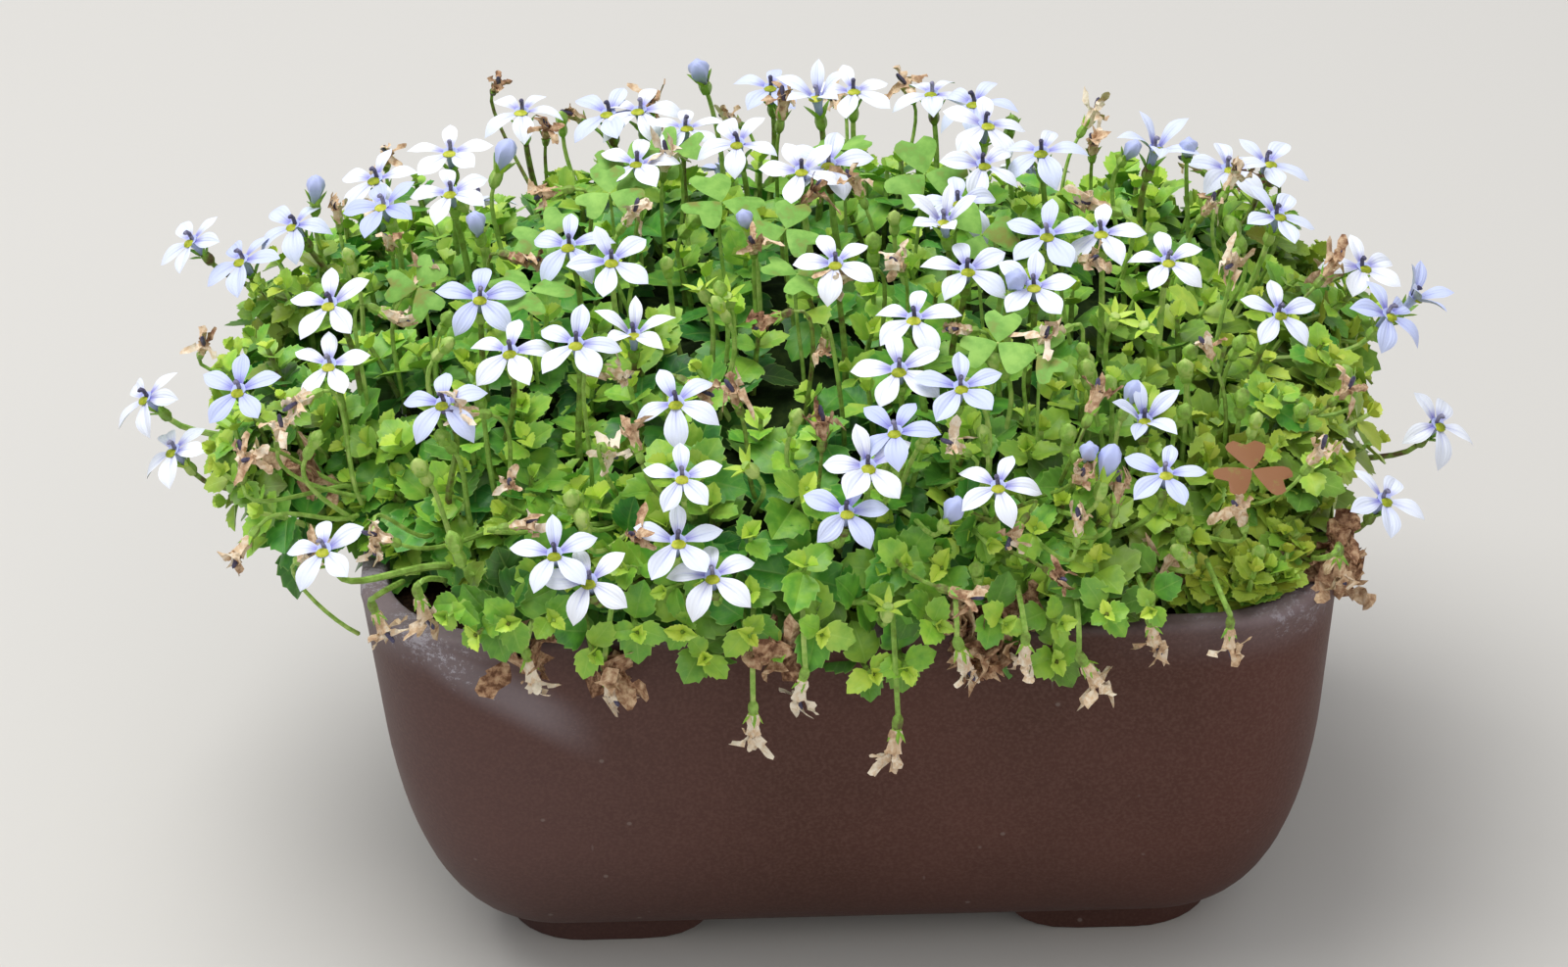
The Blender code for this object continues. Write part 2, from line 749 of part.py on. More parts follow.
def plan_blooms():
    """Every bloom's head, axis, opening, spin and size, group by group. A group's blooms lean so
    that a petal of each one lies across its neighbour."""
    draw = random.Random(7)
    groups = []
    for places in bloom_groups:
        group = []
        for x, y, z, *opening in places:
            axis = bloom_axis(x, y, draw)
            head = Vector((x, y, rim_height + z))
            spin = draw.uniform(0, 2 * math.pi)
            size = draw.uniform(0.94, 1.05)
            head += step_into_clump(head - axis * (tube_length + calyx_length))
            if group:
                last = group[-1]
                offset = head - last["head"]
                reach = pair_reach if len(group) == 1 else chain_reach
                head = last["head"] + offset * min(1.0, reach / offset.length)
                along = offset.normalized()
                axis = square_to(last["axis"], along)
                if len(group) == 1:
                    last["axis"] = axis
                    last["spin"] = petal_towards(last["head"], axis, head)
                axis = Matrix.Rotation(pair_twist, 3, along) @ axis
                spin = petal_towards(head, axis, last["head"])
            opened = opening[0] if opening else 1.0
            group.append({"head": head, "axis": axis, "spin": spin, "size": size, "opening": opened})
        groups.append(group)
    return groups


def placed_bloom(plan):
    mesh = bloom_mesh(plan["opening"], plan["spin"], plan["size"])
    turn = plan["axis"].to_track_quat("Z", "Y").to_matrix().to_4x4()
    mesh.transform(Matrix.Translation(metres(*plan["head"])) @ turn)
    return mesh


def make_blooms(groups, collection, finish):
    """One object for each bloom, or for each group whose petals cross."""
    trees = []
    for number, group in enumerate(groups):
        meshes = [placed_bloom(plan) for plan in group]
        trees += [surface_tree(mesh, Matrix.Identity(4), 1.03) for mesh in meshes]
        first = bpy.data.objects.new(f"bloom_{number + 1:02d}", meshes[0])
        collection.objects.link(first)
        if len(group) > 1:
            joined = new_collection("bloom_group")
            for mesh in meshes[1:]:
                joined.objects.link(bpy.data.objects.new("bloom_part", mesh))
            apply_boolean(first, "UNION", joined, "MANIFOLD")
            drop_scraps(first)
        first.data.materials.clear()
        first.data.materials.append(finish)
    return trees


def add_stems(plans, cells):
    for plan in plans:
        top = plan["head"] - plan["axis"] * (tube_length * plan["size"] + gap)
        calyx = top - plan["axis"] * calyx_length
        cell = cell_of(calyx.x, calyx.y)
        half = stem_thickness / 2
        stalk([stem_foot(calyx, cell), calyx, top], [half, half, calyx_radius], cells[cell])


def add_heads(places, radii, step, cells):
    """Buds and withered flowers: short stalks that swell into a head."""
    for x, y, z in places:
        cell = cell_of(x, y)
        tip = Vector((x, y, rim_height + z))
        out = Vector((0.3 * (x - mat_centre[0]) / mat_half_length, -0.25, 1)).normalized()
        points = [stem_foot(tip, cell)]
        points += [tip - out * step * steps for steps in (3, 2, 1, 0)]
        head = stalk(points, (head_stalk_radius, *radii), cells[cell])
        corners = [vertex.co for vertex in head.data.vertices]
        head.data.transform(Matrix.Translation(shift_into(cell, corners)))


def add_hanging_heads(cells):
    """Withered flowers that hang over the front of the rim on bent stalks."""
    down = Vector((0.05, -0.05, -1)).normalized()
    for x, y, z in hanging_places:
        tip = Vector((x, y, rim_height + z))
        bend = Vector((x * 0.97, y - 1.5, rim_height + max(0.0, z) + 6.0))
        root_x = x * 0.93
        root_z = dome_height(root_x, hanging_root_y, core_depth) - stem_sink
        points = [Vector((root_x, hanging_root_y, root_z)), bend]
        points += [tip - down * hanging_step * steps for steps in (2, 1, 0)]
        stalk(points, hanging_radii, cells[cell_of(x, y)])


def add_sorrel(cells):
    flat = sorrel_mesh()
    for x, y, z in sorrel_places:
        cell = cell_of(x, y)
        tip = Vector((x, y, rim_height + z))
        out = Vector((chance.uniform(-0.2, 0.2), -0.3, 1)).normalized()
        turn = out.to_track_quat("Z", "Y").to_matrix().to_4x4()
        place = Matrix.Translation(metres(*tip)) @ turn @ Matrix.Scale(sorrel_radius / 1000, 4)
        points = [place @ vertex.co for vertex in flat.vertices]
        place = Matrix.Translation(shift_into(cell, points)) @ place
        placed_copy(flat, place, cells[cell], "sorrel")
        top = place.translation * 1000
        radii = (head_stalk_radius, head_stalk_radius)
        stalk([stem_foot(top, cell), top + out * 0.2], radii, cells[cell])
    bpy.data.meshes.remove(flat)


def stand_on_origin(objects):
    """Parents the parts to an empty that puts the origin under the middle of the model's box."""
    points = [vertex.co for part in objects for vertex in part.data.vertices]
    xs = [point.x for point in points]
    ys = [point.y for point in points]
    root = bpy.data.objects.new("blue_star_creeper", None)
    bpy.context.scene.collection.objects.link(root)
    root.location = (-(min(xs) + max(xs)) / 2, -(min(ys) + max(ys)) / 2, 0.0)
    for part in objects:
        part.parent = root


def main():
    clear_scene()
    parts = new_collection("potted_blue_star_creeper")
    stoneware = material("stoneware", (0.075, 0.040, 0.034), 0.62)
    earth = material("soil", (0.045, 0.028, 0.018), 0.95)
    foliage = material("foliage", (0.110, 0.290, 0.035), 0.55)
    petal = material("petal", (0.660, 0.700, 0.960), 0.60)

    pot = make_pot(parts, stoneware)
    crowns = crown_places()
    soil = make_soil(parts, earth, crowns.values())
    soil_tree = surface_tree(soil.data, Matrix.Identity(4))
    pot_tree = surface_tree(pot.data, Matrix.Identity(4))

    groups = plan_blooms()
    bloom_trees = make_blooms(groups, parts, petal)
    cells = {}
    cores = {}
    for cell, place in crowns.items():
        cores[cell] = make_core(cell, parts, foliage)
        cells[cell] = new_collection("clump")
        add_crown(place, cells[cell])
    add_stems(sum(groups, []), cells)
    add_heads(bud_places, bud_radii, bud_step, cells)
    add_heads(withered_places, withered_radii, withered_step, cells)
    add_hanging_heads(cells)
    add_sorrel(cells)
    crossed = {}
    for cell, clump in cells.items():
        crossed[cell] = [surface_tree(part.data, part.matrix_world) for part in clump.objects]
    add_leaves(cells, crossed, [pot_tree, soil_tree, *bloom_trees])
    for cell, core in cores.items():
        apply_boolean(core, "UNION", cells[cell], "MANIFOLD")
        drop_scraps(core)
        core.data.materials.clear()
        core.data.materials.append(foliage)
    stand_on_origin(list(parts.objects))


main()
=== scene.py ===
import math
import random

import bpy
import numpy as np
from mathutils import Matrix, Vector


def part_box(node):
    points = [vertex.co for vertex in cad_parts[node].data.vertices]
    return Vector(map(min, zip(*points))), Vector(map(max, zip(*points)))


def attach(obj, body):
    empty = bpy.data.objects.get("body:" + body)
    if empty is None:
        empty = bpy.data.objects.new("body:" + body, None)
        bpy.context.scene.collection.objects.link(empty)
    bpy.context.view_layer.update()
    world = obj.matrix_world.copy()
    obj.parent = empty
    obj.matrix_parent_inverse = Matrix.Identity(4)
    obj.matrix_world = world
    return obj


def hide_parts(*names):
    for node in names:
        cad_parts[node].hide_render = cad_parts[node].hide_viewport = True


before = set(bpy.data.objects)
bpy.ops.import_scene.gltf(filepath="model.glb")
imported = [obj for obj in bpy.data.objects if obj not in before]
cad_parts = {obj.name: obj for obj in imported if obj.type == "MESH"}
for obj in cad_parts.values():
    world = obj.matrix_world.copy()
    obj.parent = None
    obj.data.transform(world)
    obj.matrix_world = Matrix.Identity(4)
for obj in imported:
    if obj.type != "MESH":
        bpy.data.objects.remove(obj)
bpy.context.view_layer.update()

# A blue star creeper in a rounded stoneware pot. Lengths are in millimetres from the middle of
# the pot's footprint, and makePiece turns them into metres in the model's own frame.
potLow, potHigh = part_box("pot")
potCentre = np.array([(potLow.x + potHigh.x) / 2, (potLow.y + potHigh.y) / 2, potLow.z]) * 1000
rimTop = (potHigh.z - potLow.z) * 1000
goldenTurn = (3 - math.sqrt(5)) / 2


# ---- small helpers: colours, nodes and directions

def hexColour(text):  # an sRGB hex value as linear red, green, blue and alpha
    parts = np.array([int(text[i:i + 2], 16) for i in (1, 3, 5)]) / 255
    linear = np.where(parts <= 0.04045, parts / 12.92, ((parts + 0.055) / 1.055) ** 2.4)
    return (*linear.tolist(), 1.0)


def addNode(tree, kind, inputs=None, stops=None, **settings):  # a node, set up and linked
    node = tree.nodes.new(kind)
    for name, value in settings.items():
        setattr(node, name, value)
    for name, value in (inputs or {}).items():
        if isinstance(value, bpy.types.NodeSocket):
            tree.links.new(value, node.inputs[name])
        else:
            node.inputs[name].default_value = value
    if stops:
        elements = node.color_ramp.elements
        while len(elements) < len(stops):
            elements.new(0.5)
        for element, (position, colour) in zip(elements, stops):
            element.position = position
            element.color = hexColour(colour)
    return node


def newMaterial(name, roughness, **sockets):
    made = bpy.data.materials.new(name)
    made.use_nodes = True
    shader = made.node_tree.nodes["Principled BSDF"]
    shader.inputs["Roughness"].default_value = roughness
    for socket, value in sockets.items():
        shader.inputs[socket.replace("_", " ")].default_value = value
    return made, made.node_tree, shader


def blendOf(tree, amount, first, second, how="MIX"):  # two colours mixed by an amount
    sockets = {0: amount, 6: first, 7: second}
    return addNode(tree, "ShaderNodeMix", sockets, data_type="RGBA", blend_type=how).outputs[2]


def easeOf(tree, value, low, high, start=0.0, end=1.0):  # runs smoothly from start to end
    sockets = {"Value": value, "From Min": low, "From Max": high, "To Min": start, "To Max": end}
    return addNode(tree, "ShaderNodeMapRange", sockets, interpolation_type="SMOOTHSTEP").outputs[0]


def mathOf(tree, how, first, second=0.0):
    return addNode(tree, "ShaderNodeMath", {0: first, 1: second}, operation=how).outputs[0]


def unit(vectors):
    return vectors / np.maximum(np.linalg.norm(vectors, axis=-1, keepdims=True), 1e-9)


def framesOf(forward, up):  # right, forward and up directions that are square to each other
    forward = unit(forward)
    right = unit(np.cross(forward, up))
    return np.stack([right, forward, np.cross(right, forward)], axis=-2)


def turned(vectors, axes, angles):  # vectors turned round unit axes that they are square to
    return vectors * np.cos(angles)[..., None] + np.cross(axes, vectors) * np.sin(angles)[..., None]


# ---- heaps: many copies of closed shapes that become one mesh

def newHeap():
    return {"points": [], "quads": [], "tris": [], "quadSkins": [], "triSkins": [],
            "blade": [], "tint": [], "count": 0}


def addTubes(heap, rings, start, end, skin, tint, across=None, along=None):
    # rings is copies x stations x corners x 3. Neighbouring rings are joined by quads, and each
    # copy is closed by a fan to one point at either end.
    copies, stations, corners, _ = rings.shape
    each = stations * corners + 2
    points = np.concatenate([rings.reshape(copies, -1, 3), start[:, None], end[:, None]], axis=1)
    row = np.arange(stations - 1)[:, None] * corners
    here = np.arange(corners)[None, :]
    after = (here + 1) % corners
    quads = np.stack([row + here, row + after, row + corners + after, row + corners + here], axis=-1)
    last = (stations - 1) * corners
    first = np.stack([np.full(corners, each - 2), after[0], here[0]], axis=-1)
    final = np.stack([np.full(corners, each - 1), last + here[0], last + after[0]], axis=-1)
    tris = np.concatenate([first, final])
    shift = heap["count"] + np.arange(copies)[:, None, None] * each
    heap["quads"].append((quads.reshape(1, -1, 4) + shift).reshape(-1, 4))
    heap["tris"].append((tris[None] + shift).reshape(-1, 3))
    heap["quadSkins"].append(np.full(copies * quads.size // 4, skin))
    heap["triSkins"].append(np.full(copies * len(tris), skin))
    across = np.arange(corners) / corners if across is None else across
    along = np.linspace(0, 1, stations) if along is None else along
    blade = np.zeros((each, 2))
    blade[:-2, 0] = np.tile(across, stations)
    blade[:-2, 1] = np.repeat(along, corners)
    blade[-2:] = ((0.5, 0.0), (0.5, 1.0))
    heap["blade"].append(np.tile(blade, (copies, 1)))
    heap["tint"].append(np.repeat(tint, each, axis=0))
    heap["points"].append(points.reshape(-1, 3))
    heap["count"] += copies * each


def makePiece(name, heap, skins, cadNodes, sharpAngle=50):
    points = (np.concatenate(heap["points"]) + potCentre) / 1000
    faces = np.concatenate(heap["quads"]).tolist() + np.concatenate(heap["tris"]).tolist()
    mesh = bpy.data.meshes.new(name)
    mesh.from_pydata(points.tolist(), [], faces)
    mesh.polygons.foreach_set("material_index", np.concatenate(heap["quadSkins"] + heap["triSkins"]))
    corners = np.empty(len(mesh.loops), np.int32)
    mesh.loops.foreach_get("vertex_index", corners)
    layer = mesh.uv_layers.new(name="blade")
    layer.data.foreach_set("uv", np.concatenate(heap["blade"])[corners].ravel())
    tints = mesh.attributes.new("tint", "FLOAT_VECTOR", "POINT")
    tints.data.foreach_set("vector", np.concatenate(heap["tint"]).ravel())
    for skin in skins:
        mesh.materials.append(skin)
    mesh.shade_smooth()
    mesh.set_sharp_from_angle(angle=math.radians(sharpAngle))
    mesh.update()
    piece = bpy.data.objects.new(name, mesh)
    bpy.context.scene.collection.objects.link(piece)
    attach(piece, "root")
    if cadNodes:
        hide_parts(*cadNodes)
    return piece


def addBlades(heap, shape, place, frames, length, width, fold, rise, curl, skin, tint, draw):
    # A thin closed blade: x runs across and y along it. Its height is fold times the distance
    # from the midrib, plus a soft bulge on either side, plus rise and minus curl along its length,
    # plus a ripple at the margin. The underside hangs below by a thickness that fades at the edge.
    along, half = np.array(shape["along"]), np.array(shape["half"])
    upper, under = np.array(shape["across"]), np.array(shape["under"])
    across = np.concatenate([upper, under])
    copies = len(place)
    pick = (slice(None), None, None)
    side = across[None, None, :] * half[None, :, None]
    x = side * width[pick]
    reach = np.abs(across)[None, None, :]
    lean = np.broadcast_to(shape["lean"], half.shape)[None, :, None]
    y = along[None, :, None] * (shape["tip"] + (1 - shape["tip"]) * reach) + lean * reach * 0.5
    puff = shape["bulge"] * half[None, :, None] * 4 * reach * (1 - reach)
    phase = draw.uniform(0, 6.28, copies)[pick]
    wave = shape["ripple"] * np.sin(phase + 9 * y + 1.6 * np.sign(across)) * reach ** 2 * half[None, :, None]
    z = fold[pick] * np.abs(x) + puff + rise[pick] * y - curl[pick] * y ** shape["bend"] + wave
    isUnder = np.arange(len(across)) >= len(upper)
    thickness = shape["thick"] * np.minimum(half / half.max() * 1.6, 1)[None, :, None] * (1 - reach ** 2)
    z = z - np.where(isUnder[None, None, :], thickness + puff, 0)
    local = np.stack([x, y + 0 * x, z], axis=-1) * length[:, None, None, None]
    rings = np.einsum("nsck,nkj->nscj", local, frames) + place[:, None, None, :]
    tip = np.stack([0 * length, shape["tip"] + 0 * length, rise * shape["tip"] - curl * shape["tip"] ** shape["bend"]], -1)
    end = np.einsum("nk,nkj->nj", tip * length[:, None], frames) + place
    addTubes(heap, rings, place, end, skin, tint, (across + 1) / 2, along)


def addStems(heap, path, radius, sides, skin, tint):
    # A round stem: a circle carried along each path, square to it
    flow = unit(np.gradient(path, axis=1))
    mean = np.abs(unit(path[:, -1] - path[:, 0]))
    guide = np.eye(3)[mean.argmin(axis=1)][:, None, :]
    first = unit(np.cross(guide + 0 * flow, flow))
    second = np.cross(flow, first)
    angle = np.arange(sides) * 2 * math.pi / sides
    circle = first[:, :, None] * np.cos(angle)[:, None] + second[:, :, None] * np.sin(angle)[:, None]
    radius = np.broadcast_to(radius, path.shape[:2])
    rings = path[:, :, None] + circle * radius[:, :, None, None]
    start = path[:, 0] - flow[:, 0] * radius[:, :1]
    end = path[:, -1] + flow[:, -1] * radius[:, -1:]
    addTubes(heap, rings, start, end, skin, tint)


def addTurned(heap, profile, place, frames, size, sides, skin, tint, ribs=0.0):
    # A turned shape: a profile of radius and height spun round each frame's up direction, with
    # five soft ribs if asked
    profile = np.array(profile)
    angle = np.arange(sides) * 2 * math.pi / sides
    swell = 1 + ribs * np.cos(5 * angle)
    ring = np.stack([np.cos(angle) * swell, np.sin(angle) * swell], -1)
    local = np.concatenate([
        profile[1:-1, None, :1] * ring[None], np.broadcast_to(profile[1:-1, None, 1:], (len(profile) - 2, sides, 1)),
    ], axis=-1)
    rings = np.einsum("sck,nkj->nscj", local, frames) * size[:, None, None, None] + place[:, None, None]
    start = place + frames[:, 2] * (profile[0, 1] * size)[:, None]
    end = place + frames[:, 2] * (profile[-1, 1] * size)[:, None]
    addTubes(heap, rings, start, end, skin, tint)


# ---- materials

def leafGreen():
    # Living leaf, a thin waxy blade: mid green with paler veins and margin, lime when young,
    # and yellow or bronze where it has had too much sun
    made, tree, shader = newMaterial("livingLeaf", 0.42, IOR=1.42, Coat_Weight=0.14, Coat_Roughness=0.28)
    shader.inputs["Specular IOR Level"].default_value = 0.40
    place = addNode(tree, "ShaderNodeTexCoord").outputs["Object"]
    blade = addNode(tree, "ShaderNodeUVMap", uv_map="blade").outputs[0]
    parts = addNode(tree, "ShaderNodeSeparateXYZ", {0: blade})
    tint = addNode(tree, "ShaderNodeAttribute", attribute_name="tint").outputs["Vector"]
    tone = addNode(tree, "ShaderNodeSeparateXYZ", {0: tint})
    patches = addNode(tree, "ShaderNodeTexNoise", {"Vector": place, "Scale": 420.0, "Detail": 3.0}).outputs[0]
    freshBase = easeOf(tree, parts.outputs[1], 0.55, 0.05, 0.0, 0.10)
    age = mathOf(tree, "ADD", mathOf(tree, "ADD", tone.outputs[1], freshBase), easeOf(tree, patches, 0.25, 0.75, -0.12, 0.12))
    green = addNode(tree, "ShaderNodeValToRGB", {0: age}, stops=(
        (0.0, "#1F5020"), (0.20, "#357A2C"), (0.44, "#5FA838"), (0.70, "#97CB45"), (1.0, "#CBE65A"))).outputs[0]
    warm = blendOf(tree, tone.outputs[2], green, hexColour("#B9AF3A"))
    cool = blendOf(tree, easeOf(tree, tone.outputs[0], 0.3, 1.0, 0.0, 0.35), warm, hexColour("#3F8A3A"))
    fromRib = mathOf(tree, "MULTIPLY", mathOf(tree, "ABSOLUTE", mathOf(tree, "SUBTRACT", parts.outputs[0], 0.5)), 2.0)
    rib = easeOf(tree, fromRib, 0.02, 0.08, 0.20, 0.0)
    sweep = mathOf(tree, "SUBTRACT", mathOf(tree, "MULTIPLY", parts.outputs[1], 34.0), mathOf(tree, "MULTIPLY", fromRib, 9.0))
    veins = easeOf(tree, mathOf(tree, "SINE", sweep), 0.82, 1.0, 0.0, 0.06)
    margin = easeOf(tree, fromRib, 0.90, 1.0, 0.0, 0.38)
    lines = mathOf(tree, "MAXIMUM", mathOf(tree, "MAXIMUM", rib, veins), margin)
    colour = blendOf(tree, lines, cool, hexColour("#B7D873"))
    tree.links.new(colour, shader.inputs["Base Color"])
    tree.links.new(easeOf(tree, patches, 0.3, 0.7, 0.36, 0.50), shader.inputs["Roughness"])
    height = mathOf(tree, "SUBTRACT", mathOf(tree, "MULTIPLY", patches, 0.5), mathOf(tree, "MAXIMUM", rib, veins))
    bump = addNode(tree, "ShaderNodeBump", {"Height": height, "Strength": 0.5, "Distance": 0.0002})
    tree.links.new(bump.outputs[0], shader.inputs["Normal"])
    return made


def petalSkin():
    # Petal, a soft matt sheet of cells: near white with a lavender blush, finely streaked along
    # its length, violet-blue towards the throat and bluer underneath
    made, tree, shader = newMaterial("palePetal", 0.55)
    shader.inputs["Specular IOR Level"].default_value = 0.3
    shader.inputs["Sheen Weight"].default_value = 0.15
    blade = addNode(tree, "ShaderNodeUVMap", uv_map="blade").outputs[0]
    parts = addNode(tree, "ShaderNodeSeparateXYZ", {0: blade})
    tint = addNode(tree, "ShaderNodeAttribute", attribute_name="tint").outputs["Vector"]
    tone = addNode(tree, "ShaderNodeSeparateXYZ", {0: tint})
    fromRib = mathOf(tree, "MULTIPLY", mathOf(tree, "ABSOLUTE", mathOf(tree, "SUBTRACT", parts.outputs[0], 0.5)), 2.0)
    body = addNode(tree, "ShaderNodeValToRGB", {0: tone.outputs[0]}, stops=(
        (0.0, "#F0F4FC"), (0.45, "#DEE6FA"), (1.0, "#B0BCF2"))).outputs[0]
    streaks = mathOf(tree, "SINE", mathOf(tree, "MULTIPLY", fromRib, 19.0))
    faint = mathOf(tree, "MULTIPLY", easeOf(tree, streaks, 0.2, 1.0, 0.0, 0.10), easeOf(tree, parts.outputs[1], 0.95, 0.3, 0.2, 1.0))
    lined = blendOf(tree, faint, body, hexColour("#98A2E6"))
    crease = mathOf(tree, "MULTIPLY", easeOf(tree, fromRib, 0.12, 0.0, 0.0, 0.42), easeOf(tree, parts.outputs[1], 0.75, 0.2, 0.0, 1.0))
    creased = blendOf(tree, crease, lined, hexColour("#7E84D8"))
    inner = mathOf(tree, "MULTIPLY", easeOf(tree, parts.outputs[1], 0.46, 0.06, 0.0, 1.0), easeOf(tree, fromRib, 1.3, 0.1, 0.45, 1.0))
    flare = mathOf(tree, "MULTIPLY", inner, easeOf(tree, tone.outputs[1], 0.0, 1.0, 0.22, 0.95))
    throat = blendOf(tree, flare, creased, hexColour("#7670CC"))
    backs = blendOf(tree, tone.outputs[2], throat, hexColour("#8E99E2"))
    tree.links.new(backs, shader.inputs["Base Color"])
    bump = addNode(tree, "ShaderNodeBump", {"Height": streaks, "Strength": 0.25, "Distance": 0.0001})
    tree.links.new(bump.outputs[0], shader.inputs["Normal"])
    return made


def plainSkin(name, stops, grain, roughness, bumpDepth, level=0.3):
    # A plant surface whose colour wanders along a ramp by its own tint and a fine noise
    made, tree, shader = newMaterial(name, roughness)
    shader.inputs["Specular IOR Level"].default_value = level
    place = addNode(tree, "ShaderNodeTexCoord").outputs["Object"]
    noise = addNode(tree, "ShaderNodeTexNoise", {"Vector": place, "Scale": grain, "Detail": 4.0, "Roughness": 0.6}).outputs[0]
    tint = addNode(tree, "ShaderNodeAttribute", attribute_name="tint").outputs["Vector"]
    tone = addNode(tree, "ShaderNodeSeparateXYZ", {0: tint})
    mixed = mathOf(tree, "ADD", tone.outputs[0], easeOf(tree, noise, 0.25, 0.75, -0.3, 0.3))
    colour = addNode(tree, "ShaderNodeValToRGB", {0: mixed}, stops=stops).outputs[0]
    tree.links.new(colour, shader.inputs["Base Color"])
    bump = addNode(tree, "ShaderNodeBump", {"Height": noise, "Strength": 0.6, "Distance": bumpDepth})
    tree.links.new(bump.outputs[0], shader.inputs["Normal"])
    return made


def stonewareSkin():
    # Unglazed stoneware, pressed and fired: a dense brown body, matt with a soft sheen, fine grit,
    # pale specks and short scratches, and a white crust of lime by the rim. Painted light is added too:
    # a paler, greyer left side as painted reflection, a darker foot as painted shade, and a paler rim top as a painted
    # highlight
    made, tree, shader = newMaterial("brownStoneware", 0.5)
    shader.inputs["Specular IOR Level"].default_value = 0.22
    object = addNode(tree, "ShaderNodeTexCoord").outputs["Object"]
    place = addNode(tree, "ShaderNodeVectorMath", {0: object, 1: potCentre / 1000}, operation="SUBTRACT").outputs[0]
    spot = addNode(tree, "ShaderNodeSeparateXYZ", {0: place})
    x, y, z = spot.outputs
    cloud = addNode(tree, "ShaderNodeTexNoise", {"Vector": place, "Scale": 22.0, "Detail": 5.0}).outputs[0]
    grit = addNode(tree, "ShaderNodeTexNoise", {"Vector": place, "Scale": 1500.0, "Detail": 2.0}).outputs[0]
    body = addNode(tree, "ShaderNodeValToRGB", {0: cloud}, stops=(
        (0.30, "#45291F"), (0.52, "#4D2F27"), (0.75, "#57372F"))).outputs[0]
    # Painted reflection: the left half of the pot turns paler and greyer towards its left end, for light reflected off
    # the rounded left corner
    paintedLeftReflection = blendOf(tree, easeOf(tree, x, 0.0, -0.090, 0.0, 0.40), body, hexColour("#645050"))
    reddened = blendOf(tree, easeOf(tree, x, 0.03, 0.085, 0.0, 0.25), paintedLeftReflection, hexColour("#542A22"))
    gritty = blendOf(tree, easeOf(tree, grit, 0.35, 0.75, 0.0, 0.30), reddened, hexColour("#71544B"))
    # Painted shade: the pot turns darker towards the bottom, from 36 mm down to 8 mm above the floor, for the shade low
    # on its curved wall
    paintedLowShade = blendOf(tree, easeOf(tree, z, 0.036, 0.008, 0.0, 0.40), gritty, hexColour("#33201B"))
    specks = addNode(tree, "ShaderNodeTexVoronoi", {"Vector": place, "Scale": 120.0, "Randomness": 1.0}).outputs["Distance"]
    flecked = blendOf(tree, easeOf(tree, specks, 0.075, 0.03, 0.0, 0.30), paintedLowShade, hexColour("#9A8F88"))
    stretch = addNode(tree, "ShaderNodeMapping", {"Vector": place, "Scale": (1.0, 1.0, 0.12)}).outputs[0]
    scratch = addNode(tree, "ShaderNodeTexVoronoi", {"Vector": stretch, "Scale": 170.0}).outputs["Distance"]
    scratched = blendOf(tree, easeOf(tree, scratch, 0.05, 0.02, 0.0, 0.22), flecked, hexColour("#8D7F79"))
    slope = mathOf(tree, "ADD", mathOf(tree, "MULTIPLY", x, -0.69), 0.0288)
    offLine = mathOf(tree, "ABSOLUTE", mathOf(tree, "SUBTRACT", z, slope))
    trail = mathOf(tree, "MULTIPLY", easeOf(tree, offLine, 0.0085, 0.001), mathOf(
        tree, "MULTIPLY", easeOf(tree, x, -0.086, -0.076), easeOf(tree, x, -0.044, -0.060)))
    byRim = mathOf(tree, "MULTIPLY", easeOf(tree, z, 0.073, 0.083), mathOf(
        tree, "MAXIMUM", easeOf(tree, x, -0.052, -0.070, 0.0, 0.8), easeOf(tree, x, 0.040, 0.080, 0.0, 0.55)))
    where = mathOf(tree, "MAXIMUM", trail, byRim)
    crust = addNode(tree, "ShaderNodeTexNoise", {"Vector": place, "Scale": 650.0, "Detail": 5.0, "Roughness": 0.85}).outputs[0]
    drift = addNode(tree, "ShaderNodeTexNoise", {"Vector": place, "Scale": 60.0, "Detail": 3.0}).outputs[0]
    broken = easeOf(tree, mathOf(tree, "ADD", mathOf(tree, "MULTIPLY", crust, drift), mathOf(tree, "MULTIPLY", where, 0.10)), 0.31, 0.41)
    lime = mathOf(tree, "MULTIPLY", mathOf(tree, "MULTIPLY", where, broken), 0.85)
    haze = mathOf(tree, "MAXIMUM", lime, mathOf(tree, "MULTIPLY", where, 0.22))
    limed = blendOf(tree, haze, scratched, hexColour("#C2BFC8"))
    # Painted highlight: the top of the rim is blended paler in patches, for the light it catches
    lip = mathOf(tree, "MULTIPLY", easeOf(tree, z, 0.0815, 0.0838, 0.0, 0.40), easeOf(tree, drift, 0.3, 0.7, 0.3, 1.0))
    withRimHighlight = blendOf(tree, lip, limed, hexColour("#8F8488"))
    tree.links.new(withRimHighlight, shader.inputs["Base Color"])
    tree.links.new(easeOf(tree, mathOf(tree, "ADD", cloud, lime), 0.3, 1.2, 0.46, 0.80), shader.inputs["Roughness"])
    height = mathOf(tree, "ADD", mathOf(tree, "MULTIPLY", grit, 0.4), mathOf(
        tree, "MULTIPLY", crust, mathOf(tree, "ADD", lime, 0.25)))
    bump = addNode(tree, "ShaderNodeBump", {"Height": height, "Strength": 0.35, "Distance": 0.0003})
    tree.links.new(bump.outputs[0], shader.inputs["Normal"])
    return made


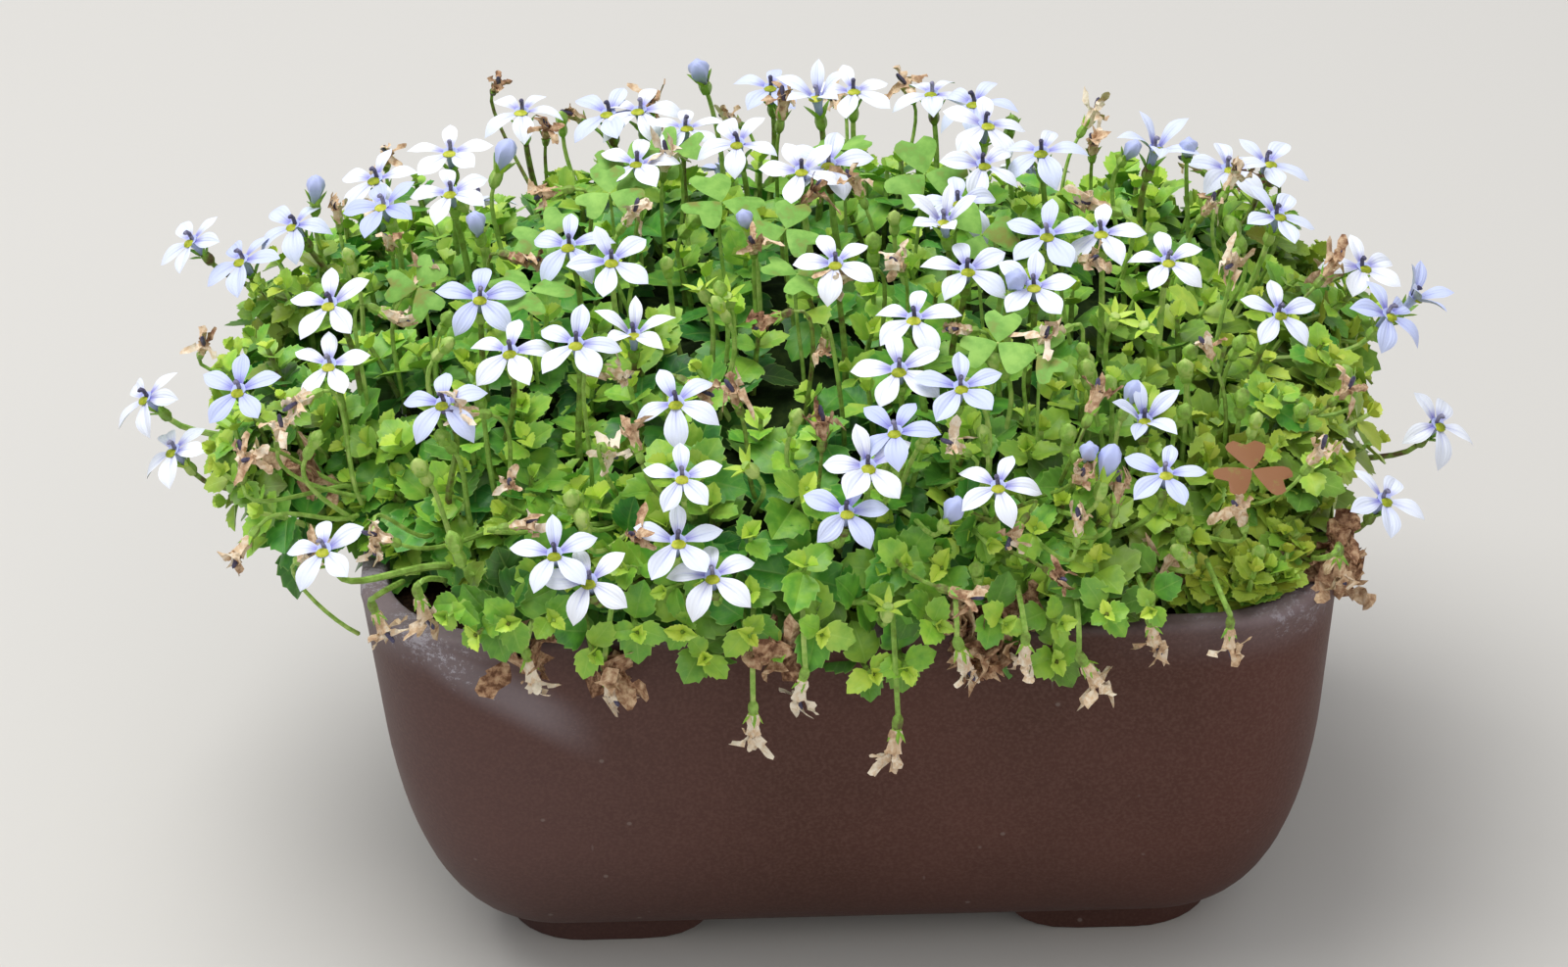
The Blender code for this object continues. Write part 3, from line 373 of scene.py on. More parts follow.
leafSkin = leafGreen()
petals = petalSkin()
stemSkin = plainSkin("juicyStem", ((0.0, "#5E4A30"), (0.3, "#77903C"), (0.65, "#8FB950"), (1.0, "#B9CF74")), 500.0, 0.45, 0.0001)
witheredSkin = plainSkin("witheredPetal", ((0.0, "#6A4936"), (0.25, "#A88264"), (0.6, "#DCBE9A"), (1.0, "#F3E6D0")), 750.0, 0.85, 0.0004, 0.15)
throatSkin = plainSkin("throatOfBloom", ((0.0, "#66781A"), (0.5, "#A3AE22"), (1.0, "#CDD04C")), 900.0, 0.6, 0.0001)
antherSkin = plainSkin("antherColumn", ((0.0, "#37344C"), (0.6, "#57536F"), (1.0, "#8F8CA6")), 1200.0, 0.5, 0.0001)
# The tangle's near-black greens stand for stems deep in the mat and partly for painted shade between the leaves
shadedTangleSkin = plainSkin("shadedTangle", ((0.0, "#141A0C"), (0.4, "#26361A"), (0.7, "#3A4A22"), (1.0, "#5A4A30")), 260.0, 0.9, 0.0008, 0.1)
sorrelSkin = plainSkin("sorrelLeaflet", ((0.0, "#8C5F3E"), (0.25, "#84893F"), (0.5, "#74A746"), (1.0, "#98C65E")), 260.0, 0.6, 0.0001)
soilSkin = plainSkin("pottingCompost", ((0.0, "#120C08"), (0.4, "#2A1D14"), (0.75, "#43301F"), (1.0, "#6E5238")), 700.0, 0.95, 0.0010, 0.1)
skins = [leafSkin, stemSkin, petals, witheredSkin, throatSkin, antherSkin, sorrelSkin]
leafOf, stemOf, petalOf, witheredOf, throatOf, antherOf, sorrelOf = range(7)
print("materials ready")


# ---- the pot: a loft of rounded rectangles, four feet swept round its corners, two drain holes

pot = {
    "half": (90.0, 67.0), "wall": 5.0, "floor": 6.0, "bodyHeight": 77.0, "footHeight": 7.0,
    "taper": math.tan(math.radians(5.0)), "round": 45.0, "baseInset": 20.7, "rimCorner": 23.0,
    "cornerSteps": 12, "sideSteps": (16, 10), "footInset": 1.6, "footDepth": 14.0,
    "footGap": (28.6, 17.0), "footToe": 12.0, "drainRadius": 5.0, "drainSpacing": 36.0,
}


def roundedRing(inset, height, pot):
    # A rectangle with round corners: the corner's centre plus a quarter turn for each corner, and
    # straight runs between them. inset and height are arrays, one for each ring.
    turn = np.linspace(0, math.pi / 2, pot["cornerSteps"])
    spots = []
    for quarter, (side, front) in enumerate(((1, 1), (-1, 1), (-1, -1), (1, -1))):
        angle = turn + quarter * math.pi / 2
        arc = np.stack([side + 0 * angle, front + 0 * angle, np.cos(angle), np.sin(angle)], -1)
        runs = pot["sideSteps"][quarter % 2]
        share = np.linspace(0, 1, runs + 1)[1:-1, None]
        ahead = np.array([(-1, 1), (-1, -1), (1, -1), (1, 1)][quarter])
        middle = np.array([side, front]) * (1 - share) + ahead * share
        run = np.concatenate([middle, np.tile(arc[-1, 2:], (len(share), 1))], -1)
        spots += [arc, run]
    spots = np.concatenate(spots)[None]
    inset = np.asarray(inset, float)[:, None]
    radius = pot["rimCorner"] - inset * 0.35
    x = spots[..., 0] * (pot["half"][0] - inset - radius) + radius * spots[..., 2]
    y = spots[..., 1] * (pot["half"][1] - inset - radius) + radius * spots[..., 3]
    return np.stack([x, y, np.asarray(height, float)[:, None] + 0 * x], -1)


def wallInset(depth, pot):
    # How far the wall stands in below the rim: a slope, plus a quarter ellipse near the base
    turn = np.maximum(0, (depth - (pot["bodyHeight"] - pot["round"])) / pot["round"])
    rounding = 1 - np.sqrt(np.maximum(0, 1 - turn ** 2))
    return pot["taper"] * depth + (pot["baseInset"] - pot["taper"] * pot["bodyHeight"]) * rounding


def potHeap(pot):
    heap = newHeap()
    rise = np.sin(np.linspace(0, math.pi / 2, 16))
    depth = np.concatenate([pot["bodyHeight"] - pot["round"] * (1 - np.cos(np.arcsin(rise))), np.linspace(32, 2, 10)[1:]])
    depth = np.sort(depth)[::-1]
    outer = np.stack([wallInset(depth, pot), rimTop - depth], -1)
    lip = np.array([(0.0, 1.6), (0.12, 0.9), (0.45, 0.38), (1.0, 0.08), (1.7, 0.0), (3.3, 0.0), (4.0, 0.08), (4.55, 0.38), (4.88, 0.9), (5.0, 1.6)])
    lip = np.stack([lip[:, 0], rimTop - lip[:, 1]], -1)
    down = np.linspace(6, pot["bodyHeight"] - pot["floor"] - 1, 12)
    inner = np.stack([wallInset(down, pot) + pot["wall"], rimTop - down], -1)
    floorZ = rimTop - pot["bodyHeight"] + pot["floor"]
    bottom = np.array([(inner[-1, 0] + 3, floorZ), (inner[-1, 0] + 30, floorZ)])
    under = np.array([(pot["baseInset"] + 30, pot["footHeight"]), (pot["baseInset"], pot["footHeight"])])
    profile = np.concatenate([under, outer[1:], lip, inner, bottom])
    rings = roundedRing(profile[:, 0], profile[:, 1], pot)[None]
    tint = np.zeros((1, 3))
    addTubes(heap, rings, np.array([[0, 0, pot["footHeight"]]]), np.array([[0, 0, floorZ]]), 0, tint)
    return heap


def footHeap(pot, signX, signY):
    # A foot runs round one corner. Its underside lifts at both ends along a quarter ellipse.
    heap = newHeap()
    inset = pot["baseInset"] + pot["footInset"]
    radius = pot["rimCorner"] - inset * 0.35
    cornerX, cornerY = pot["half"][0] - inset - radius, pot["half"][1] - inset - radius
    turn = np.linspace(0, math.pi / 2, 9)
    nearEnds = np.array([0.0, 0.02, 0.06, 0.12, 0.22, 0.35, 0.55, 0.8, 1.0])
    sideY = pot["footGap"][1] + (cornerY - pot["footGap"][1]) * nearEnds
    frontX = pot["footGap"][0] + (cornerX - pot["footGap"][0]) * nearEnds[::-1]
    x = np.concatenate([0 * sideY + cornerX + radius, cornerX + radius * np.cos(turn)[1:-1], frontX])
    y = np.concatenate([sideY, cornerY + radius * np.sin(turn)[1:-1], 0 * frontX + cornerY + radius])
    outX = np.concatenate([1 + 0 * sideY, np.cos(turn)[1:-1], 0 * frontX])
    outY = np.concatenate([0 * sideY, np.sin(turn)[1:-1], 1 + 0 * frontX])
    fromEnd = np.minimum(np.where(outY < 1, y - pot["footGap"][1], 99), np.where(outX < 1, x - pot["footGap"][0], 99))
    share = np.clip(1 - fromEnd / pot["footToe"], 0, 1)
    lift = pot["footHeight"] * (1 - np.sqrt(1 - share ** 2)) * 0.97
    section = np.array([(0, 9.0), (0, 0.9), (0.3, 0.3), (1.0, 0.0), (13.0, 0.0), (13.7, 0.3), (14.0, 0.9), (14.0, 9.0)])
    inward = section[None, :, 0]
    z = np.where(section[None, :, 1] > 5, 9.0, section[None, :, 1] + lift[:, None])
    points = np.stack([(x[:, None] - outX[:, None] * inward) * signX, (y[:, None] - outY[:, None] * inward) * signY, z], -1)
    if signX * signY > 0:
        points = points[:, ::-1]
    rings = points[None]
    addTubes(heap, rings, rings[:, 0].mean(axis=1), rings[:, -1].mean(axis=1), 0, np.zeros((1, 3)))
    return heap


def heapObject(name, heap):
    mesh = bpy.data.meshes.new(name)
    faces = np.concatenate(heap["quads"]).tolist() + np.concatenate(heap["tris"]).tolist()
    mesh.from_pydata(((np.concatenate(heap["points"]) + potCentre) / 1000).tolist(), [], faces)
    made = bpy.data.objects.new(name, mesh)
    bpy.context.scene.collection.objects.link(made)
    return made


def fuse(target, others, how):  # joins or cuts the target with the others, which are then removed
    for other in others:
        change = target.modifiers.new(how, "BOOLEAN")
        change.operation = how
        change.object = other
        change.solver = "EXACT"
    fused = bpy.data.meshes.new_from_object(target.evaluated_get(bpy.context.evaluated_depsgraph_get()))
    target.modifiers.clear()
    target.data = fused
    for other in others:
        bpy.data.objects.remove(other)


potPiece = heapObject("stonewarePot", potHeap(pot))
feet = [heapObject(f"foot{i}", footHeap(pot, sx, sy)) for i, (sx, sy) in enumerate(((1, 1), (-1, 1), (-1, -1), (1, -1)))]
fuse(potPiece, feet, "UNION")
drains = []
for side in (-1, 1):
    hole = newHeap()
    place = np.array([[side * pot["drainSpacing"] / 2, 0, 0]])
    addTurned(hole, ((0, 2), (5, 2), (5, 20), (0, 20)), place, np.eye(3)[None], np.ones(1), 32, 0, np.zeros((1, 3)))
    drains.append(heapObject("drain", hole))
fuse(potPiece, drains, "DIFFERENCE")
potPiece.data.shade_smooth()
potPiece.data.set_sharp_from_angle(angle=math.radians(35))
potPiece.data.materials.clear()
potPiece.data.materials.append(stonewareSkin())
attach(potPiece, "root")
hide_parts("pot")
print("pot made:", len(potPiece.data.polygons), "faces")


# ---- soil, and the tangle of stems that the leaves stand out of; its near-black colour is partly painted shade

soil = {"belowRim": 6.0, "gap": 0.3, "rings": 26, "roughness": 1.1, "seed": 3}


def bumpsAt(x, y, draw, size):  # a lumpy field: many sine waves in random directions
    waves = draw.normal(0, 1 / size, (24, 2))
    phase = draw.uniform(0, 6.28, 24)
    return np.sin(x[..., None] * waves[:, 0] + y[..., None] * waves[:, 1] + phase).mean(-1) * 3


def soilHeap(soil, pot):
    heap = newHeap()
    draw = np.random.default_rng(soil["seed"])
    down = np.linspace(pot["bodyHeight"] - pot["floor"] - soil["gap"], soil["belowRim"], 8)
    wallRings = roundedRing(wallInset(down, pot) + pot["wall"] + soil["gap"], rimTop - down, pot)
    level = rimTop - soil["belowRim"]
    shrink = np.linspace(1, 0.04, soil["rings"])[1:, None, None]
    top = wallRings[-1] * (shrink * (1, 1, 0) + (0, 0, 1))
    top[..., 2] = level + 1.5 * (1 - shrink[..., 0] ** 2) + soil["roughness"] * bumpsAt(top[..., 0], top[..., 1], draw, 3.0) * (1 - shrink[..., 0] ** 6)
    rings = np.concatenate([wallRings, top])[None]
    start = np.array([[0, 0, wallRings[0, 0, 2]]])
    addTubes(heap, rings, start, np.array([[0, 0, level + 1.5]]), 0, np.full((1, 3), 0.45))
    return heap


makePiece("pottingSoil", soilHeap(soil, pot), [soilSkin], ["soil"], 80)

mat = {
    "centre": np.array([-10.0, 2.0]), "halfSize": np.array([110.0, 76.0, 40.0]), "squareness": 2.6,
    "base": 0.8, "columnEdges": (-62.0, -10.0, 42.0), "rowEdge": -2.0,
}


def domePoints(around, upward, inward, mat):
    # A squarish dome |x/a|^n + |y/b|^n + |z/h|^n = 1, and the way out of it. around and upward run
    # from 0 to 1, and inward is how far the surface lies inside the leaf tips.
    half = mat["halfSize"] - np.asarray(inward)[..., None]
    power = 2 / mat["squareness"]
    angle, lift = around * 2 * math.pi, upward * math.pi / 2
    flat = np.cos(lift) ** power
    plan = np.stack([np.cos(angle), np.sin(angle)], -1)
    spread = np.sign(plan) * np.abs(plan) ** power * flat[..., None]
    local = np.concatenate([spread, (np.sin(lift) ** power)[..., None]], -1)
    out = np.sign(local) * np.abs(local) ** (mat["squareness"] - 1) / half
    base = np.array([*mat["centre"], rimTop + mat["base"]])
    return local * half + base, unit(out)


def domeHeight(x, y, inward, mat):  # the same dome's height over a point of the plan
    half = mat["halfSize"] - inward
    across = np.abs(x - mat["centre"][0]) / half[0]
    along = np.abs(y - mat["centre"][1]) / half[1]
    left = np.maximum(0, 1 - across ** mat["squareness"] - along ** mat["squareness"])
    return rimTop + mat["base"] + half[2] * left ** (1 / mat["squareness"])


def clumpOf(points, mat):  # which of the eight CAD clumps a point belongs to, from 0 to 7
    column = (points[:, :1] > np.array(mat["columnEdges"])).sum(axis=1)
    return column + 4 * (points[:, 1] <= mat["rowEdge"])


hollows = np.array([  # the dark gaps between the leaves: x, y and height over the rim
    (-73, -61, 10), (21, -61, 22), (21, -65, 16), (10, -65, 17), (-23, -69, 8), (-41, -15, 36), (5, -63, 21),
    (-15, -69, 8), (0, -69, 10), (-86, -45, 22), (-72, -62, 4), (65, -33, 27), (49, -63, 9), (6, -59, 24),
    (-53, -32, 33), (-78, -60, 8), (-83, -37, 26), (-16, -50, 30), (24, -63, 19), (-39, -58, 24), (39, -24, 34),
    (59, -41, 26), (34, -41, 31), (76, -49, 6), (-5, -23, 36), (70, -49, 16), (-98, -42, 16), (74, -30, 24),
    (18, -58, 25), (-18, -31, 35), (42, -46, 28), (-88, -20, 28), (-57, -36, 32), (-24, -43, 32), (64, 0, 30),
    (-71, -51, 24), (-53, -67, 8), (10, 30, 38), (-60, 30, 34), (40, 40, 33), (-100, 5, 26), (92, 20, 18),
], float) + (0, 0, rimTop)
tangle = {"inward": 20.0, "half": (83.0, 59.0), "centre": (-2.0, 0.0), "bump": 2.2, "seed": 5, "runners": 170}


def tangleHeap(tangle, mat):
    heap = newHeap()
    draw = np.random.default_rng(tangle["seed"])
    around, upward = np.meshgrid(np.arange(90) / 90, np.linspace(0, 0.97, 22))
    points, out = domePoints(around, upward, tangle["inward"] + 0 * around, mat)
    own = np.array(tangle["half"]) / (mat["halfSize"][:2] - tangle["inward"])
    points[..., :2] = (points[..., :2] - mat["centre"]) * own + tangle["centre"]
    points += out * (tangle["bump"] * bumpsAt(points[..., 0] + points[..., 2], points[..., 1], draw, 3.5))[..., None]
    foot = points[:1].copy()
    foot[..., 2] = rimTop - 9
    rings = np.concatenate([foot, points])[None]
    top = np.array([[*mat["centre"], rimTop + mat["base"] + mat["halfSize"][2] - tangle["inward"]]])
    addTubes(heap, rings, np.array([[0, 0, rimTop - 9.0]]), top, 0, np.full((1, 3), 0.4))
    return heap


makePiece("shadedStemTangle", tangleHeap(tangle, mat), [shadedTangleSkin], [], 80)
print("soil and tangle made")


# ---- leafy shoots: each has four crossed pairs of leaves, smallest at its tip

leaf = {
    "along": (0.06, 0.17, 0.31, 0.42, 0.48, 0.60, 0.66, 0.77, 0.83, 0.92),
    "half": (0.05, 0.27, 0.40, 0.44, 0.385, 0.395, 0.320, 0.290, 0.210, 0.095),
    "across": (-1, -0.5, 0, 0.5, 1), "under": (0.0,), "tip": 1.0,
    "lean": (0, 0.02, 0.04, 0.10, 0.00, 0.13, 0.00, 0.14, 0.02, 0.04), "bulge": 0.08,
    "ripple": 0.06, "thick": 0.035, "bend": 2,
}
shoots = {
    "count": 470, "edgeCount": 120, "seed": 11, "pairDepth": (0.7, 3.0, 6.4, 10.5),
    "pairLength": (3.8, 6.8, 9.0, 9.6), "pairOpen": (38, 64, 80, 90), "pairAge": (0.92, 0.66, 0.42, 0.22),
}
trailing = (  # shoots that hang over the front of the rim: x, height over it, and size
    (-67, 8, 0.85), (-61, 10, 0.9), (-53, 9, 0.8), (-46, 3, 0.95), (-38, 7, 0.8), (-30, 6, 0.85), (-26, 1, 0.8),
    (-18, 6, 0.85), (-14, 1, 0.75), (-5, 6, 0.9), (4, -3, 0.9), (10, -3, 0.95), (16, 7, 0.8), (28, 7, 0.8),
    (37, -3, 0.9), (38, 6, 0.8), (46, 9, 0.7), (54, 8, 0.75), (-72, 12, 0.7),
)


def growShoots(heaps, tip, axis, size, warmth, bend, draw):
    # Leaf pairs sit at set distances below each tip. A pair spreads square to the one above it,
    # and lower pairs open wider. The blades turn partly to the light.
    count = len(tip)
    side = unit(np.cross(axis, draw.normal(0, 1, (count, 3))))
    clump = clumpOf(tip - axis * 8, mat)
    light = np.array([0, -0.22, 1.0])
    for level, depth in enumerate(shoots["pairDepth"]):
        node = tip - axis * (depth * size)[:, None] + bend * (depth / 10) ** 2
        for half in (0, 1):
            angle = level * math.pi / 2 + half * math.pi + draw.normal(0, 0.22, count)
            spread = turned(side, axis, angle)
            opened = np.radians(shoots["pairOpen"][level] + draw.normal(0, 11, count))
            forward = axis * np.cos(opened)[:, None] + spread * np.sin(opened)[:, None]
            up = axis * np.sin(opened)[:, None] - spread * np.cos(opened)[:, None]
            up = unit(up + light * 0.4 + draw.normal(0, 0.16, (count, 3)))
            length = shoots["pairLength"][level] * size * draw.uniform(0.84, 1.14, count)
            age = shoots["pairAge"][level] + draw.normal(0, 0.09, count)
            tint = np.stack([draw.uniform(0, 1, count), age, np.clip(warmth + draw.normal(0, 0.08, count), 0, 1)], -1)
            frames = framesOf(forward, up)
            fold = draw.uniform(0.10, 0.42, count) + (level == 0) * 0.5
            rise = draw.normal(0.06, 0.08, count)
            curl = draw.uniform(0.0, 0.30, count)
            width = draw.uniform(0.88, 1.10, count)
            for number, heap in enumerate(heaps):
                mine = clump == number
                if mine.any():
                    addBlades(heap, leaf, node[mine], frames[mine], length[mine], width[mine], fold[mine], rise[mine],
                              curl[mine], leafOf, tint[mine], draw)
    steps = np.linspace(0, 1, 6)[None, :, None]
    reach = 15.0 * size[:, None, None]
    path = tip[:, None] - axis[:, None] * steps * reach + bend[:, None] * (steps * 1.5) ** 2
    path[..., 2] -= (steps[..., 0] ** 2) * 3
    tint = np.stack([draw.uniform(0.2, 0.9, count)] * 3, -1)
    for number, heap in enumerate(heaps):
        mine = clump == number
        if mine.any():
            addStems(heap, path[mine], np.linspace(0.45, 0.75, 6)[None], 5, stemOf, tint[mine])


def moundTips(tip, out, draw):
    # Tips on the dome sink by a lumpy field, by a random amount and near each hollow. The mat's
    # front left corner is drawn in, where the pot's corner shows.
    swell = bumpsAt(tip[:, 0], tip[:, 1], np.random.default_rng(2), 9.0)
    near = np.linalg.norm(tip[:, None] - hollows[None], axis=-1).min(axis=1)
    depth = 4.4 + 3.4 * swell + 5.5 * draw.uniform(0, 1, len(tip)) ** 1.5 + 9.0 * np.clip(1.35 - near / 7.0, 0, 1)
    tip = tip - out * np.clip(depth, 0, 15)[:, None] + draw.normal(0, 1.4, tip.shape) * (1, 1, 0.5)
    local = (tip[:, :2] - mat["centre"]) / mat["halfSize"][:2]
    corner = np.clip(-local[:, 0], 0, 1) * np.clip(-local[:, 1], 0, 1)
    tip[:, :2] = mat["centre"] + (tip[:, :2] - mat["centre"]) * (1 - 0.34 * corner ** 1.2)[:, None]
    return tip


heaps = [newHeap() for _ in range(8)]
draw = np.random.default_rng(shoots["seed"])
number = np.arange(shoots["count"])
share = (number + 0.5) / shoots["count"]
around = (number * goldenTurn + draw.normal(0, 0.004, len(number))) % 1
upward = 1 - share ** 0.62
tip, out = domePoints(around, upward, 0 * around, mat)
tip = moundTips(tip, out, draw)
axis = unit(out * 0.75 + np.array([0, -0.04, 0.55]) + draw.normal(0, 0.30, tip.shape))
sunny = np.clip((tip[:, 0] - 10) / 90, 0, 1) * np.clip((60 - tip[:, 1]) / 90, 0, 1) * 0.55 + np.clip((-tip[:, 0] - 75) / 50, 0, 1) * 0.15
size = draw.uniform(0.78, 1.10, len(number)) * np.where(tip[:, 1] < -35, 1.08, 1.0)
growShoots(heaps, tip, axis, size, sunny, 0 * tip, draw)

count = shoots["edgeCount"]
around = (np.arange(count) + draw.uniform(0, 0.7, count)) / count
tip, out = domePoints(around, 0.02 + 0.10 * draw.uniform(0, 1, count), draw.uniform(0, 8, count), mat)
tip[:, 2] += draw.uniform(1, 5, count)
atFront = tip[:, 1] < -40
tip[atFront] += (0, 2.5, 2.0)
tip[atFront & (tip[:, 0] > 42), 1] += 5
axis = unit(out * (1, 1, 0.3) + np.array([0, 0, 0.16]) + draw.normal(0, 0.26, tip.shape))
keep = ~(atFront & (tip[:, 0] < -62))
sunny = np.clip((tip[:, 0] - 20) / 80, 0, 1) * 0.55
growShoots(heaps, tip[keep], axis[keep], draw.uniform(0.72, 1.02, count)[keep], sunny[keep], np.zeros((keep.sum(), 3)), draw)

# Shoots that fill the right front corner up to the rim, and stray ones that lean out at the ends
x = np.concatenate([draw.uniform(46, 80, 34), draw.uniform(74, 86, 14)])
y = np.concatenate([draw.uniform(-60, -50, 34), draw.uniform(-52, -20, 14)])
tip = np.stack([x, y, rimTop + draw.uniform(2, 7, len(x))], -1)
axis = unit(np.stack([0.25 + 0 * x, -0.35 + 0 * x, 1 + 0 * x], -1) + draw.normal(0, 0.3, tip.shape))
growShoots(heaps, tip, axis, draw.uniform(0.62, 0.85, len(x)), draw.uniform(0.2, 0.6, len(x)), 0 * tip, draw)
strayCount = 56
leftEnd = draw.uniform(0, 1, strayCount) < 0.55
around = np.where(leftEnd, draw.uniform(0.36, 0.56, strayCount), draw.uniform(-0.10, 0.12, strayCount)) % 1
tip, out = domePoints(around, draw.uniform(0.10, 0.45, strayCount), draw.uniform(-4.5, 1.0, strayCount), mat)
axis = unit(out * 0.9 + np.array([0, -0.05, 0.45]) + draw.normal(0, 0.25, tip.shape))
growShoots(heaps, tip, axis, draw.uniform(0.55, 0.85, strayCount), draw.uniform(0.0, 0.4, strayCount), 0 * tip, draw)

hang = np.array(trailing, float)
tip = np.stack([hang[:, 0], -72 - draw.uniform(1, 4.5, len(hang)), rimTop + hang[:, 1]], -1)
axis = unit(np.stack([draw.normal(0, 0.3, len(hang)), -0.85 + 0 * hang[:, 0], 0.35 + draw.normal(0, 0.2, len(hang))], -1))
growShoots(heaps, tip, axis, hang[:, 2], np.full(len(hang), 0.12), np.stack([0 * hang[:, 0], 3 + 0 * hang[:, 0], 2 + 0 * hang[:, 0]], -1), draw)
print("shoots grown")


# ---- blooms: five petals, a tube, a throat and a bent column of anthers; stems and calyxes

petal = {
    "along": (0.03, 0.10, 0.19, 0.30, 0.42, 0.54, 0.65, 0.75, 0.84, 0.915, 0.97),
    "half": (0.085, 0.110, 0.155, 0.208, 0.250, 0.272, 0.270, 0.238, 0.178, 0.100, 0.035),
    "across": (-1, -0.62, -0.28, 0, 0.28, 0.62, 1), "under": (0.55, 0, -0.55), "tip": 1.0, "lean": 0.0,
    "bulge": 0.10, "ripple": 0.05, "thick": 0.028, "bend": 3,
}
sepal = {
    "along": (0.1, 0.35, 0.65, 0.9), "half": (0.17, 0.19, 0.12, 0.04), "across": (-1, 0, 1), "under": (0.0,),
    "tip": 1.0, "lean": 0.0, "bulge": 0.0, "ripple": 0.0, "thick": 0.07, "bend": 2,
}
strip = {
    "along": (0.06, 0.22, 0.40, 0.58, 0.76, 0.92), "half": (0.16, 0.20, 0.27, 0.22, 0.28, 0.16), "across": (-1, -0.3, 0.4, 1),
    "under": (0.0,), "tip": 1.0, "lean": 0.0, "bulge": 0.0, "ripple": 1.0, "thick": 0.06, "bend": 2,
}
bloom = {
    "seed": 7, "length": 7.35, "mouth": 0.9, "closedRise": math.radians(75),
    "petals": ((0.88, 0.92, 0.18, 1.0), (0.98, 1.0, 0.04, 0.75), (1.06, 1.03, -0.04, 0.2), (1.06, 1.03, -0.04, 0.2), (0.98, 1.0, 0.04, 0.75)),
    "tube": ((0, -4.3), (0.6, -4.2), (0.72, -3.0), (0.85, -1.6), (1.15, -0.5), (1.45, 0.02), (1.2, 0.05), (0, -0.4)),
    "palate": ((0, -0.45), (0.7, -0.3), (1.0, -0.05), (0.8, 0.18), (0, 0.28)),
    "columnRise": (-0.4, 0.6, 1.3, 1.9, 2.1), "columnLean": (0.30, 0.60, 0.75, 0.55, 0.05),
    "columnRadius": (0.46, 0.40, 0.42, 0.48, 0.36),
    "ovary": ((0, -3.6), (0.55, -3.4), (1.05, -2.6), (1.15, -1.7), (1.0, -0.7), (0.8, 0.0), (0, 0.3)),
}
bloomGroups = (  # x, y, height over the rim, and how far a closing one is open, as in the CAD model
    ((-124, 26, 32), (-114, 20, 31), (-104, 24, 36)), ((-131, -8, 18), (-126, -14, 10)), ((-111, -29, 32),),
    ((-88, 27, 44), (-86, 15, 45), (-73, 14, 48)), ((-74, 33, 46),), ((-61, 50, 45),),
    ((-94, -19, 44), (-94, -29, 37)), ((-94, -65, 20),), ((-72, -50, 41),), ((-66, -25, 48),),
    ((-60, -41, 46), (-48, -42, 48)), ((-38, -31, 43, 0.4),), ((-52, -76, 25), (-46, -79, 21)),
    ((-44, 43, 48), (-38, 42, 49), (-29, 33, 50)), ((-38, 18, 51),), ((-50, -12, 51), (-42, -18, 51)),
    ((-30, -55, 43),), ((-29, -69, 36),), ((-30, -76, 27), (-24, -80, 22)), ((-19, 21, 53),), ((-13, 57, 45),),
    ((-4, 38, 53, 0.4),), ((3, 53, 46),), ((-2, 14, 52), (-7, 10, 53)), ((-1, -21, 51),),
    ((9, -62, 40), (4, -67, 36), (0, -74, 31)), ((13, -38, 49), (10, -49, 45), (21, -54, 44)),
    ((18, 51, 46), (26, 43, 48), (28, 31, 50)), ((27, 14, 51), (38, 20, 50)), ((22, 0, 51),),
    ((19, -12, 54, 0.4),), ((23, -23, 50), (35, -26, 48)), ((27, -70, 33),),
    ((38, -11, 50), (48, -9, 49), (60, -15, 46)), ((60, 27, 46, 0.4),), ((57, -64, 31),), ((54, -49, 33, 0.4),),
    ((74, 31, 39), (82, 38, 36)), ((82, 11, 40),), ((80, -23, 39),), ((98, 8, 30), (102, -3, 26)),
    ((109, 20, 16, 0.4),), ((111, -10, 6),), ((98, -45, 12),), ((-72, 72, 13),), ((-24, 82, 13),), ((38, 80, 12),),
    ((84, 60, 8),),
)


def planBlooms():
    # Each bloom's head, axis and size, drawn in the CAD model's own order. Blooms face up, a
    # little outwards and a little to the front.
    chance = random.Random(bloom["seed"])
    plans = []
    for group in bloomGroups:
        heads, axes, sizes, openings = [], [], [], []
        for x, y, height, *opening in group:
            across = (x - mat["centre"][0]) / mat["halfSize"][0]
            along = (y - mat["centre"][1]) / mat["halfSize"][1]
            leanX = 0.5 * across ** 3 + chance.uniform(-0.14, 0.14)
            leanY = (-0.30 + 0.22 * min(max(y / 45, 0), 1) if y < 60 else 0.5) + 0.12 * along + chance.uniform(-0.1, 0.1)
            chance.uniform(0, 2 * math.pi)
            heads.append((x, y, height + rimTop))
            axes.append((leanX, leanY, 1.0))
            sizes.append(chance.uniform(0.94, 1.05))
            openings.append(opening[0] if opening else 1.0)
        plans.append((np.array(heads), unit(np.array(axes)), np.array(sizes), np.array(openings)))
    return plans


